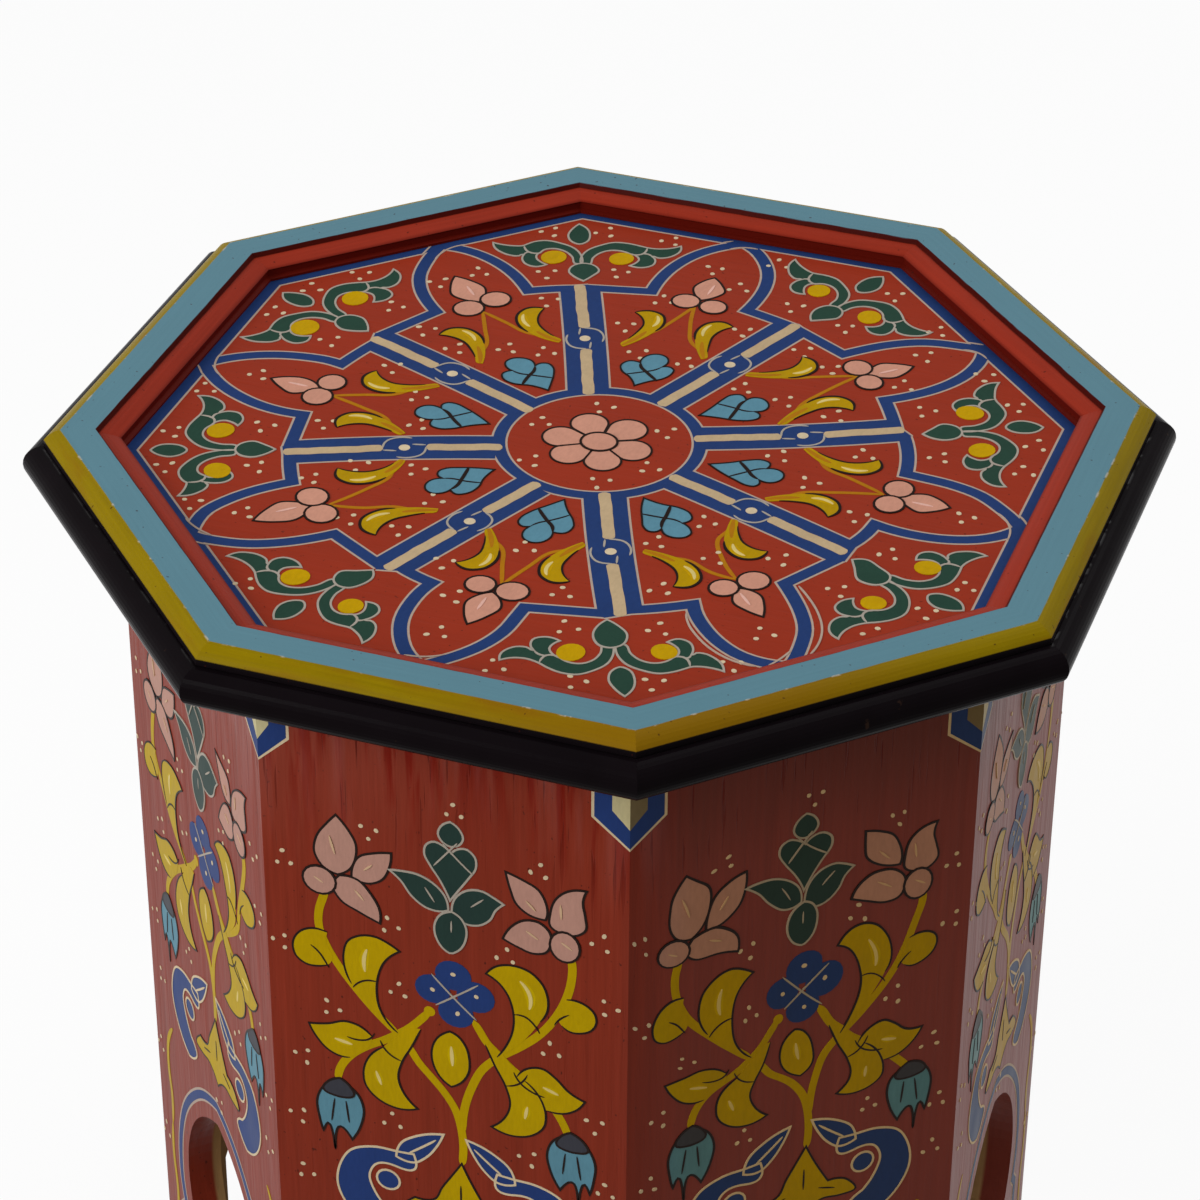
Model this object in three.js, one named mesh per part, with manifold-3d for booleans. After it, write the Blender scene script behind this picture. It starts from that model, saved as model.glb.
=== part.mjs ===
// An octagonal painted wooden stool: eight mitred side boards cut with Moorish arches, held at the top by glued
// corner blocks, under an octagonal board framed by a mitred rim moulding and a half-round edge moulding.
// Millimetres, +Z up. The origin is on the floor under the middle of the seat, and side 1 faces -Y.
import * as THREE from "three";
import { mergeVertices } from "three/addons/utils/BufferGeometryUtils.js";
import Module from "manifold-3d";

const wasm = await Module();
wasm.setup();

// Driving dimensions
const sideCount = 8;
const seatHeight = 460; // floor to the flat of the rim
const bodyAcrossFlats = 333; // outside of the side boards
const topOverhang = 32; // nose of the edge moulding beyond the side boards
const fitGap = 0.3; // glue line or clearance between neighbours
const cutOverrun = 2; // how far a cutter runs past the face that it opens

// Side boards
const panelThickness = 14;
const archHalfWidth = 42; // between the jambs, at the floor
const archSpringHeight = 88; // floor to the top of the straight jambs
const archShoulderInset = 9; // how far the shoulder steps in above a jamb
const archShoulderRise = 7;
const archLobeInset = 2; // widest part of the lobe above the shoulders, in from the jambs
const archLobeCentreOffset = 18; // the two arcs' centres lie this far past the middle
const archArcSteps = 20;

// Octagonal top board
const boardThickness = 12;

// Rim moulding, from its outer face in to the painted field
const rimSetback = 7.7; // outer face of the rim, in from the nose of the edge moulding
const bevelWidth = 6;
const bevelDrop = 4.2;
const bevelSwell = 0.7; // how far the bevel bulges from a straight slope
const lipThickness = 2.5; // outer face under the bevel
const flatWidth = 11.9;
const quirkWidth = 0.8;
const quirkDepth = 1.8;
const bandWidth = 7.6;
const bandFall = 2.3; // how much lower the band is at its inner edge
const bandSwell = 0.5;
const stepWidth = 0.9; // foot of the inner step beyond the band
const stepNeck = 0.7;
const recessDepth = 9.2; // flat of the rim down to the painted field
const curveSteps = 5;

// Half-round edge moulding round the board
const noseRadius = 7.4;
const edgeWidth = 14.7; // back to nose
const noseSteps = 16;

// Glued corner blocks under the top board
const blockHeight = 30;
const blockFaceLength = 28; // along each side board
const blockDepth = 9; // behind the two glued faces

// Slotted screws up through the corner blocks into the board
const blockScrew = {
  shankRadius: 2,
  headRadius: 4.2,
  headHeight: 2.8,
  bite: 8, // into the board
  pointLength: 4,
  slotWidth: 1.2,
  slotDepth: 1.3,
};
const blockScrewInset = 11; // from the inner corner of the side boards

// Slotted screws up through the overhang of the board into the rim moulding
const rimScrew = {
  shankRadius: 1.3,
  headRadius: 2.6,
  headHeight: 1.6,
  bite: 6, // into the rim
  pointLength: 2.5,
  slotWidth: 0.8,
  slotDepth: 0.8,
};
const rimScrewEndDistance = 38; // from a mitre
const screwsPerRim = 2;

const roundSides = 12; // facets of screws and their holes
const unitDepth = 1; // an extrusion that is drawn out to its mitres afterwards

// Worked out from the values above
const turn = (2 * Math.PI) / sideCount;
const mitreSlope = Math.tan(turn / 2);
const cornerReach = 1 / Math.cos(turn / 2); // corner distance for each unit across to a flat
const bodyApothem = bodyAcrossFlats / 2;
const panelInnerApothem = bodyApothem - panelThickness;
const edgeApothem = bodyApothem + topOverhang;
const edgeBackApothem = edgeApothem - edgeWidth;
const noseCentreApothem = edgeApothem - noseRadius;
const boardApothem = edgeBackApothem - fitGap;
const boardTopZ = seatHeight - recessDepth;
const boardBottomZ = boardTopZ - boardThickness;
const rimOuterApothem = edgeApothem - rimSetback;
const rimBottomZ = boardTopZ + fitGap;
const rimLipZ = seatHeight - bevelDrop - lipThickness;
const edgeTopZ = rimLipZ - fitGap;
const flatOuterApothem = rimOuterApothem - bevelWidth;
const flatInnerApothem = flatOuterApothem - flatWidth;
const rimScrewApothem = (bodyApothem + boardApothem) / 2;
const panelTopZ = boardBottomZ - fitGap;
const innerCornerRadius = panelInnerApothem * cornerReach;
const blockTopZ = boardBottomZ - fitGap;
const blockBottomZ = blockTopZ - blockHeight;

// Materials
const paint = (name, color, roughness) =>
  new THREE.MeshStandardMaterial({ name, color, roughness, metalness: 0 });
const redPaint = paint("red_paint", 0x8a2d1f, 0.35);
const rimPaint = paint("rim_paint", 0x63889a, 0.4);
const blackPaint = paint("black_paint", 0x140f12, 0.25);
const bareWood = paint("bare_wood", 0xb48a5c, 0.75);
const steel = new THREE.MeshStandardMaterial({
  name: "steel",
  color: 0x9a9a98,
  roughness: 0.4,
  metalness: 1,
});

// A closed geometry as a manifold solid, and back
function toSolid(geometry) {
  const bare = geometry.clone();
  bare.deleteAttribute("normal");
  bare.deleteAttribute("uv");
  const merged = mergeVertices(bare);
  return new wasm.Manifold(
    new wasm.Mesh({
      numProp: 3,
      vertProperties: merged.attributes.position.array,
      triVerts: new Uint32Array(merged.index.array),
    }),
  );
}

function toGeometry(solid) {
  const mesh = solid.getMesh();
  const geometry = new THREE.BufferGeometry();
  geometry.setAttribute(
    "position",
    new THREE.BufferAttribute(mesh.vertProperties, 3),
  );
  geometry.setIndex(new THREE.BufferAttribute(mesh.triVerts, 1));
  geometry.computeVertexNormals();
  return geometry;
}

// A vertical cylinder from bottomZ to topZ, as a cutter
function drill(x, y, radius, bottomZ, topZ) {
  const cylinder = new THREE.CylinderGeometry(
    radius,
    radius,
    topZ - bottomZ,
    roundSides,
  );
  cylinder.rotateX(Math.PI / 2);
  cylinder.translate(x, y, (topZ + bottomZ) / 2);
  return toSolid(cylinder);
}

// A turned piece standing on the Z axis, from [radius, height] pairs that start and end on the axis
function turned(profile) {
  const points = profile.map(([radius, z]) => new THREE.Vector2(radius, z));
  const geometry = new THREE.LatheGeometry(points, roundSides);
  geometry.rotateX(Math.PI / 2);
  return geometry;
}

// A moulding along one side of the octagon. The section is drawn as (distance from the middle, height); each of its
// corners runs along Y as far as the mitre planes let it, less half a glue line.
function mitredMoulding(section) {
  const geometry = new THREE.ExtrudeGeometry(section, {
    depth: unitDepth,
    bevelEnabled: false,
  });
  const position = geometry.attributes.position;
  for (let i = 0; i < position.count; i++) {
    const apothem = position.getX(i);
    const z = position.getY(i);
    const end = position.getZ(i) > 0 ? -1 : 1;
    const reach = apothem * mitreSlope - (fitGap / 2) * cornerReach;
    position.setXYZ(i, apothem, end * reach, z);
  }
  return geometry;
}

// A swelling line from the last point of a shape to (x, z), bulging by swell square to itself
function swellTo(shape, x, z, swell) {
  const from = shape.currentPoint;
  const length = Math.hypot(x - from.x, z - from.y);
  const normalX = (z - from.y) / length;
  const normalZ = (from.x - x) / length;
  const middleX = (from.x + x) / 2 + 2 * swell * normalX;
  const middleZ = (from.y + z) / 2 + 2 * swell * normalZ;
  const curve = new THREE.QuadraticBezierCurve(
    from.clone(),
    new THREE.Vector2(middleX, middleZ),
    new THREE.Vector2(x, z),
  );
  curve
    .getPoints(curveSteps)
    .slice(1)
    .forEach((p) => shape.lineTo(p.x, p.y));
}

// Rim section: outer lip, swelling bevel, flat, quirk, swelling band, step down to the field, rebated underside
function rimSection() {
  const bandOuterApothem = flatInnerApothem - quirkWidth;
  const bandInnerApothem = bandOuterApothem - bandWidth;
  const bandOuterZ = seatHeight - quirkDepth;
  const bandInnerZ = bandOuterZ - bandFall;
  const neckApothem = bandInnerApothem + stepNeck;
  const footApothem = bandInnerApothem - stepWidth;
  const shape = new THREE.Shape();
  shape.moveTo(boardApothem, rimBottomZ);
  shape.lineTo(boardApothem, rimLipZ);
  shape.lineTo(rimOuterApothem, rimLipZ);
  shape.lineTo(rimOuterApothem, seatHeight - bevelDrop);
  swellTo(shape, flatOuterApothem, seatHeight, bevelSwell);
  shape.lineTo(flatInnerApothem, seatHeight);
  shape.lineTo(bandOuterApothem, bandOuterZ);
  swellTo(shape, bandInnerApothem, bandInnerZ, bandSwell);
  shape.lineTo(neckApothem, bandInnerZ - stepNeck);
  shape.lineTo(neckApothem, rimBottomZ + stepWidth + stepNeck);
  shape.lineTo(footApothem, rimBottomZ + stepWidth);
  shape.lineTo(footApothem, rimBottomZ);
  return shape;
}

// Edge section: a flat back and a half-round nose
function edgeSection() {
  const noseZ = edgeTopZ - noseRadius;
  const shape = new THREE.Shape();
  shape.moveTo(edgeBackApothem, edgeTopZ - 2 * noseRadius);
  for (let i = 0; i <= noseSteps; i++) {
    const angle = -Math.PI / 2 + (Math.PI * i) / noseSteps;
    shape.lineTo(
      noseCentreApothem + noseRadius * Math.cos(angle),
      noseZ + noseRadius * Math.sin(angle),
    );
  }
  shape.lineTo(edgeBackApothem, edgeTopZ);
  return shape;
}

// One flank of the arch, from the foot of a jamb to the point, as (across, height) with across positive
function archFlank() {
  const lobeRadius = archHalfWidth - archLobeInset + archLobeCentreOffset;
  const shoulderX = archHalfWidth - archShoulderInset;
  const shoulderZ = archSpringHeight + archShoulderRise;
  const startAngle = -Math.acos((shoulderX + archLobeCentreOffset) / lobeRadius);
  const pointAngle = Math.acos(archLobeCentreOffset / lobeRadius);
  const lobeZ = shoulderZ - lobeRadius * Math.sin(startAngle);
  const flank = [
    new THREE.Vector2(archHalfWidth, 0),
    new THREE.Vector2(archHalfWidth, archSpringHeight),
  ];
  for (let i = 0; i <= archArcSteps; i++) {
    const angle = startAngle + ((pointAngle - startAngle) * i) / archArcSteps;
    const across = lobeRadius * Math.cos(angle) - archLobeCentreOffset;
    const z = lobeZ + lobeRadius * Math.sin(angle);
    flank.push(new THREE.Vector2(i < archArcSteps ? across : 0, z));
  }
  return flank;
}

// Side board: the outline with its arch, extruded inwards, its two long edges mitred to meet the neighbours
function sidePanelGeometry() {
  const halfWidthAt = (apothem) =>
    apothem * mitreSlope - (fitGap / 2) * cornerReach;
  const outerHalfWidth = halfWidthAt(bodyApothem);
  const flank = archFlank();
  const shape = new THREE.Shape();
  shape.moveTo(outerHalfWidth, 0);
  shape.lineTo(outerHalfWidth, panelTopZ);
  shape.lineTo(-outerHalfWidth, panelTopZ);
  shape.lineTo(-outerHalfWidth, 0);
  flank.forEach((p) => shape.lineTo(-p.x, p.y));
  flank
    .slice(0, -1)
    .reverse()
    .forEach((p) => shape.lineTo(p.x, p.y));
  const geometry = new THREE.ExtrudeGeometry(shape, {
    depth: panelThickness,
    bevelEnabled: false,
  });
  const position = geometry.attributes.position;
  for (let i = 0; i < position.count; i++) {
    const across = position.getX(i);
    const z = position.getY(i);
    const apothem = panelInnerApothem + position.getZ(i);
    const onEdge = Math.abs(across) > outerHalfWidth - fitGap;
    const y = onEdge ? Math.sign(across) * halfWidthAt(apothem) : across;
    position.setXYZ(i, apothem, y, z);
  }
  return geometry;
}

// Corner block: glued faces against two side boards and an inner body behind them, bored for its screw
function cornerBlockGeometry() {
  const apexX = innerCornerRadius - fitGap * cornerReach;
  const faceX = blockFaceLength * Math.sin(turn / 2);
  const faceY = blockFaceLength * Math.cos(turn / 2);
  const shape = new THREE.Shape();
  shape.moveTo(apexX, 0);
  shape.lineTo(apexX - faceX, faceY);
  shape.lineTo(apexX - faceX - blockDepth, faceY);
  shape.lineTo(apexX - faceX - blockDepth, -faceY);
  shape.lineTo(apexX - faceX, -faceY);
  const block = new THREE.ExtrudeGeometry(shape, {
    depth: blockHeight,
    bevelEnabled: false,
  });
  block.translate(0, 0, blockBottomZ);
  const bore = drill(
    innerCornerRadius - blockScrewInset,
    0,
    blockScrew.shankRadius + fitGap,
    blockBottomZ - cutOverrun,
    blockTopZ + cutOverrun,
  );
  return toGeometry(toSolid(block).subtract(bore));
}

// A slotted wood screw that stands head down, its head under seatZ and its point biting past biteZ
function screwGeometry(size, seatZ, biteZ) {
  const headTopZ = seatZ - fitGap;
  const headBottomZ = headTopZ - size.headHeight;
  const tipZ = biteZ + size.bite;
  const body = turned([
    [0, headBottomZ],
    [size.headRadius - size.slotDepth, headBottomZ],
    [size.headRadius, headBottomZ + size.slotDepth],
    [size.headRadius, headTopZ],
    [size.shankRadius, headTopZ],
    [size.shankRadius, tipZ - size.pointLength],
    [0, tipZ],
  ]);
  const slot = new THREE.BoxGeometry(
    2 * (size.headRadius + cutOverrun),
    size.slotWidth,
    2 * size.slotDepth,
  );
  slot.translate(0, 0, headBottomZ);
  return toGeometry(toSolid(body).subtract(toSolid(slot)));
}

// Where the screws stand along a side, as distances from its middle
function rimScrewPlaces() {
  const reach = rimScrewApothem * mitreSlope - rimScrewEndDistance;
  return Array.from(
    { length: screwsPerRim },
    (_, i) => reach * ((2 * i) / (screwsPerRim - 1) - 1),
  );
}

// One side of the rim, with blind holes in its underside
function rimGeometry() {
  let solid = toSolid(mitredMoulding(rimSection()));
  for (const along of rimScrewPlaces())
    solid = solid.subtract(
      drill(
        rimScrewApothem,
        along,
        rimScrew.shankRadius + fitGap,
        rimBottomZ - cutOverrun,
        rimBottomZ + rimScrew.bite + fitGap,
      ),
    );
  return toGeometry(solid);
}

const sideAngle = (i) => turn * i - Math.PI / 2;
const cornerAngle = (i) => sideAngle(i) + turn / 2;

function turnedPoint(apothem, along, angle) {
  return [
    apothem * Math.cos(angle) - along * Math.sin(angle),
    apothem * Math.sin(angle) + along * Math.cos(angle),
  ];
}

// Top board: an octagon, bored through for the rim's screws and part way for those of the blocks
function topBoardGeometry() {
  const shape = new THREE.Shape(
    Array.from({ length: sideCount }, (_, i) => {
      const corner = turnedPoint(boardApothem * cornerReach, 0, cornerAngle(i));
      return new THREE.Vector2(...corner);
    }),
  );
  const slab = new THREE.ExtrudeGeometry(shape, {
    depth: boardThickness,
    bevelEnabled: false,
  });
  slab.translate(0, 0, boardBottomZ);
  let solid = toSolid(slab);
  const bore = (place, screw, topZ) => {
    const radius = screw.shankRadius + fitGap;
    const cutter = drill(...place, radius, boardBottomZ - cutOverrun, topZ);
    solid = solid.subtract(cutter);
  };
  for (let i = 0; i < sideCount; i++) {
    for (const along of rimScrewPlaces()) {
      const place = turnedPoint(rimScrewApothem, along, sideAngle(i));
      bore(place, rimScrew, boardTopZ + cutOverrun);
    }
    const place = turnedPoint(
      innerCornerRadius - blockScrewInset,
      0,
      cornerAngle(i),
    );
    bore(place, blockScrew, boardBottomZ + blockScrew.bite + fitGap);
  }
  return toGeometry(solid);
}

const stool = new THREE.Group();

// Adds a mesh to the group that stands at an angle round the middle of the stool
function place(name, geometry, material, angle, x = 0, y = 0) {
  const group = new THREE.Group();
  group.rotation.z = angle;
  const mesh = new THREE.Mesh(geometry, material);
  mesh.name = name;
  mesh.position.set(x, y, 0);
  group.add(mesh);
  stool.add(group);
}

const panel = sidePanelGeometry();
const rim = rimGeometry();
const edge = mitredMoulding(edgeSection());
const block = cornerBlockGeometry();
const screwInBlock = screwGeometry(blockScrew, blockBottomZ, boardBottomZ);
const screwInRim = screwGeometry(rimScrew, boardBottomZ, rimBottomZ);

place("top_board", topBoardGeometry(), redPaint, 0);
for (let i = 0; i < sideCount; i++) {
  const number = i + 1;
  place(`side_panel_${number}`, panel, redPaint, sideAngle(i));
  place(`rim_moulding_${number}`, rim, rimPaint, sideAngle(i));
  place(`edge_moulding_${number}`, edge, blackPaint, sideAngle(i));
  place(`corner_block_${number}`, block, bareWood, cornerAngle(i));
  place(
    `block_screw_${number}`,
    screwInBlock,
    steel,
    cornerAngle(i),
    innerCornerRadius - blockScrewInset,
  );
  rimScrewPlaces().forEach((along, j) =>
    place(
      `rim_screw_${screwsPerRim * i + j + 1}`,
      screwInRim,
      steel,
      sideAngle(i),
      rimScrewApothem,
      along,
    ),
  );
}

export default stool;
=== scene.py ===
from math import cos, pi, radians, sin, sqrt

import bpy
import numpy as np
from mathutils import Matrix, Vector


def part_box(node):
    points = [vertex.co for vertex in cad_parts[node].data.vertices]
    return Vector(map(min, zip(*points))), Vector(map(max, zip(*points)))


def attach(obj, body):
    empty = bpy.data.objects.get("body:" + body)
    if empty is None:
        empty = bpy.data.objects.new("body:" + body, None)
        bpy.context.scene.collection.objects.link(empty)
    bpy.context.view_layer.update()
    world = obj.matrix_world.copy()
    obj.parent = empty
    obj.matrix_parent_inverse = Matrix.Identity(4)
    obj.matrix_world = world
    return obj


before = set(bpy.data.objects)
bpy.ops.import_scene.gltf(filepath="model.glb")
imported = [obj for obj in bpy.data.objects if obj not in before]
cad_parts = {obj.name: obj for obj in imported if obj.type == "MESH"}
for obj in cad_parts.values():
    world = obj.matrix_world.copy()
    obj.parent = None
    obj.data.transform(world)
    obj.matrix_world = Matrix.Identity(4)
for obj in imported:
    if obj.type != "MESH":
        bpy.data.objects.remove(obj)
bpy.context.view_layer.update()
mm = 0.001                       # the drawings below are in millimetres, the scene in metres
hand = np.random.default_rng(23)  # the painter's unsteady hand, the same on every run
print("frame loaded:", len(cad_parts), "nodes")

# Places on the stool, read from the frame.
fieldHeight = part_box("top_board")[1].z / mm
rimLow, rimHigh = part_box("rim_moulding_1")
edgeLow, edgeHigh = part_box("edge_moulding_1")
sideLow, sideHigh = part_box("side_panel_1")
sideFace = -sideLow.y / mm
sides = 8
sideTurn = 360 / sides


# Lines and outlines.

pointStep = 1.2                  # between the points of a drawn line
waveLengths = (9.0, 17.0, 31.0)  # of an unsteady line


def turned(points, degrees):
    # every point turned about the origin, counter-clockwise
    across, up = cos(radians(degrees)), sin(radians(degrees))
    return np.asarray(points, float) @ np.array(((across, up), (-up, across)))


def heading(start, end):
    # the vector from start to end, one long
    return (end - start) / np.linalg.norm(end - start)


def distanceAlong(line):
    return np.r_[0, np.cumsum(np.linalg.norm(np.diff(line, axis=0), axis=1))]


def smooth(points, perSpan=7):
    # a soft line through the points: each span is a cubic whose slope at a point is that of
    # the parabola through it and its two neighbours
    line = np.asarray(points, float)
    if len(line) < 3:
        return line
    step = np.diff(line, axis=0)
    length = np.linalg.norm(step, axis=1)[:, None]
    slope = step / length
    inner = (slope[1:] * length[:-1] + slope[:-1] * length[1:]) / (length[1:] + length[:-1])
    slopes = np.vstack((2 * slope[:1] - inner[:1], inner, 2 * slope[-1:] - inner[-1:]))
    ends = (line[:-1], line[1:], slopes[:-1], slopes[1:])
    start, end, startSlope, endSlope = (each[:, None, :] for each in ends)
    span = length[:, None, :]
    t = (np.arange(perSpan) / perSpan)[None, :, None]
    spans = ((2 * t**3 - 3 * t**2 + 1) * start + (t**3 - 2 * t**2 + t) * span * startSlope
             + (3 * t**2 - 2 * t**3) * end + (t**3 - t**2) * span * endSlope)
    return np.vstack((spans.reshape(-1, 2), line[-1:]))


def evenly(line, step=pointStep):
    # the same line with its points about a step apart
    along = distanceAlong(line)
    count = max(2, round(along[-1] / step) + 1)
    at = np.linspace(0, along[-1], count)
    return np.column_stack([np.interp(at, along, line[:, axis]) for axis in (0, 1)])


def path(*runs, step=pointStep):
    # an open line of soft runs: each run ends where the next one starts, at a sharp corner
    parts = [evenly(smooth([*run, after[0]]), step)[:-1] for run, after in zip(runs, runs[1:])]
    return np.vstack([*parts, evenly(smooth(runs[-1]), step)])


def loop(*runs):
    # a closed outline of soft runs with a sharp corner at the first point of each
    ends = [*runs[1:], runs[0]]
    return np.vstack([evenly(smooth([*run, after[0]]))[:-1] for run, after in zip(runs, ends)])


def twoSided(first, rows, last):
    # a closed outline down or up a middle line, sharp at its first point; a row is a place on
    # the middle line, the half-width there and its height
    left = [(middle - half, height) for middle, half, height in rows]
    right = [(middle + half, height) for middle, half, height in rows]
    return loop([first, *left, last, *right[::-1]])


def oval(centre, across, up=None, turn=0.0, points=18):
    # centre plus (across cos a, up sin a), turned
    angle = np.arange(points) * 2 * pi / points
    up = across if up is None else up
    return turned(np.column_stack((across * np.cos(angle), up * np.sin(angle))), turn) + centre


def nudged(points, marks, moves, reach, hold=0.25):
    # the points moved as the marks near them are: by the moves' average, weighted with a bell
    # curve of the distance; hold keeps far points where they are
    points = np.asarray(points, float)
    away = ((points[:, None, :] - marks[None]) ** 2).sum(2)
    weight = np.exp(-away / (2 * reach ** 2))
    return points + weight @ moves / (weight.sum(1)[:, None] + hold)


def wavering(line, amount):
    # the line moved a little by slow waves along it
    along = distanceAlong(line)
    wave = np.zeros_like(line)
    for length in waveLengths:
        phase = hand.uniform(0, 2 * pi, 2)
        wave += np.sin(2 * pi * along[:, None] / length + phase)
    return line + amount * wave / 2


# Paint. A colour of one face of the stool is one piece: thin coats with closed edges.

# heights of the coats above the face, in millimetres
lifts = {"casing": 0.05, "blue": 0.11, "fill": 0.11, "flower": 0.16, "dot": 0.17, "bar": 0.17, "root": 0.2,
         "glow": 0.21, "line": 0.23, "light": 0.29, "top": 0.45}

# shapes that overlap are stacked by steps, each with its line a little above it
steps = {"each": 0.08, "line": 0.04}

# the width of a free brush line and the length over which its ends draw in
brushes = {"crossing": (0.8, 2), "knot": (0.8, 1), "petalShine": (1.1, 3), "hornBack": (1.1, 5),
           "hornHollow": (0.8, 8), "hornRoot": (2.2, 9), "hornGlow": (4.2, 6), "hornShine": (1.4, 3),
           "leafBold": (1.4, 3), "thin": (0.7, 3), "scroll": (0.9, 2), "sprig": (0.65, 2),
           "pale": (0.9, 3), "openShape": (0.8, 4), "boardGlow": (4.0, 6), "boardLight": (1.5, 4)}

# the painter's touch: how much longer than wide a dot gets, how far the dots of a three stray
touch = {"long": (1.0, 1.35), "stray": (0.85, 1.15), "dotPoints": 8}


class Coats:
    # place turns a drawing's points and a height above the face into metres. Coats of one colour
    # may cross, so each lies a hair above the last, up to a full stack. A coat's walls sink into
    # the face, a mitre has a limit, and a tapered line ends in a tip
    sink = 0.03
    hair = 0.0008
    stack = 45
    mitreLimit = 0.35
    tip = 0.3

    def __init__(self, name, slot):
        self.name = name
        self.slot = slot
        self.pots = {}
        self.place = None

    def take(self, paint, points, faces):
        pot = self.pots.setdefault(paint, {"points": [], "faces": [], "count": 0, "coats": 0})
        start = pot["count"]
        pot["points"].append(points)
        pot["faces"] += [tuple(int(corner) + start for corner in face) for face in faces]
        pot["count"] += len(points)
        pot["coats"] += 1

    def height(self, paint, lift):
        # the lift is a name from the list above or a number
        coats = self.pots[paint]["coats"] if paint in self.pots else 0
        return lifts.get(lift, lift) + self.hair * (coats % self.stack)

    def fill(self, paint, outline, lift):
        # a filled outline: its ring at the coat's height and again in the face, walls between
        ring = np.asarray(outline, float)
        following = np.roll(ring, -1, axis=0)
        if (ring[:, 0] * following[:, 1] - ring[:, 1] * following[:, 0]).sum() < 0:
            ring = ring[::-1]
        count = len(ring)
        this = np.arange(count)
        after = (this + 1) % count
        walls = np.column_stack((this, this + count, after + count, after))
        points = np.vstack((self.place(ring, self.height(paint, lift)), self.place(ring, -self.sink)))
        self.take(paint, points, [tuple(this), tuple(this[::-1] + count), *walls])

    def stroke(self, paint, line, width, lift, closed=False, taper=0.0):
        # a brush line: a flat section carried along the path, its edges at half the width
        # along the mitre of the two neighbouring segments, drawn in over the taper at the ends
        line = np.asarray(line, float)
        ahead = np.roll(line, -1, axis=0) - line
        if not closed:
            ahead[-1] = ahead[-2]
        ahead /= np.linalg.norm(ahead, axis=1)[:, None]
        aside = np.column_stack((-ahead[:, 1], ahead[:, 0]))
        before = np.roll(aside, 1, axis=0)
        if not closed:
            before[0] = aside[0]
        mitre = (aside + before) / np.maximum(1 + (aside * before).sum(1), self.mitreLimit)[:, None]
        half = np.full(len(line), 0.5 * width)
        if taper:
            along = distanceAlong(line)
            toEnd = np.minimum(along, along[-1] - along)
            half *= self.tip + (1 - self.tip) * np.sqrt(np.minimum(toEnd / taper, 1))
        right, left = line - mitre * half[:, None], line + mitre * half[:, None]
        top = self.height(paint, lift)
        section = [self.place(right, top), self.place(left, top),
                   self.place(left, -self.sink), self.place(right, -self.sink)]
        points = np.stack(section, axis=1).reshape(-1, 3)
        this = np.arange(len(line) if closed else len(line) - 1)[:, None] * 4
        after = (this + 4) % len(points)
        corner = np.arange(4)[None, :]
        turn = (corner + 1) % 4
        walls = np.stack((this + corner, after + corner, after + turn, this + turn), axis=-1)
        faces = list(walls.reshape(-1, 4))
        if not closed:
            last = len(points) - 4
            faces += [(0, 1, 2, 3), (last + 3, last + 2, last + 1, last)]
        self.take(paint, points, faces)

    def mark(self, paint, brush, lift, *runs):
        # a free brush line through soft runs
        width, taper = brushes[brush]
        self.stroke(paint, path(*runs), width, lift, taper=taper)

    def dot(self, paint, centre, radius, lift):
        # one touch of the brush
        length = radius * hand.uniform(*touch["long"])
        self.fill(paint, oval(centre, radius, length, hand.uniform(0, 180), touch["dotPoints"]), lift)

    def threeDots(self, centre, spread=3.7, radius=0.95):
        spin = hand.uniform(0, 360)
        for arm in range(3):
            reach = turned([(spread * hand.uniform(*touch["stray"]), 0)], spin + 120 * arm)[0]
            self.dot("dotCream", np.asarray(centre, float) + reach, radius, "dot")

    def finish(self):
        for paint, pot in self.pots.items():
            mesh = bpy.data.meshes.new(f"{self.name}_{paint}")
            mesh.from_pydata(np.vstack(pot["points"]), [], pot["faces"])
            mesh.materials.append(paintMaterial(self.name, paint))
            piece = bpy.data.objects.new(f"{self.name}_{paint}", mesh)
            bpy.context.scene.collection.objects.link(piece)
            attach(piece, "root")
        print(self.name, "painted:", len(self.pots), "colours")


# the line round a shape of each paint: its colour and width
lineRound = {"leafGreen": ("paleLine", 0.8), "royalBlue": ("dotCream", 0.9),
             "petalPink": ("outlineBlack", 0.9), "leafBlue": ("outlineBlack", 0.9),
             "capGrey": ("outlineBlack", 0.9)}


def outlined(coats, paint, outline, step=None):
    # a shape and its line; where shapes overlap, a later step covers the line of an earlier one
    low, high = lifts["fill"], lifts["line"]
    if step is not None:
        low += steps["each"] * step
        high = low + steps["line"]
    coats.fill(paint, outline, low)
    coats.stroke(lineRound[paint][0], outline, lineRound[paint][1], high, closed=True)


# Paints, as the dried colours look in plain light.

bumpDepth = 0.0004               # metres
noiseRoughness = 0.55
shiftBy = (1, 0.7, 0.3)          # how a noise's shift is shared out over the axes


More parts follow.
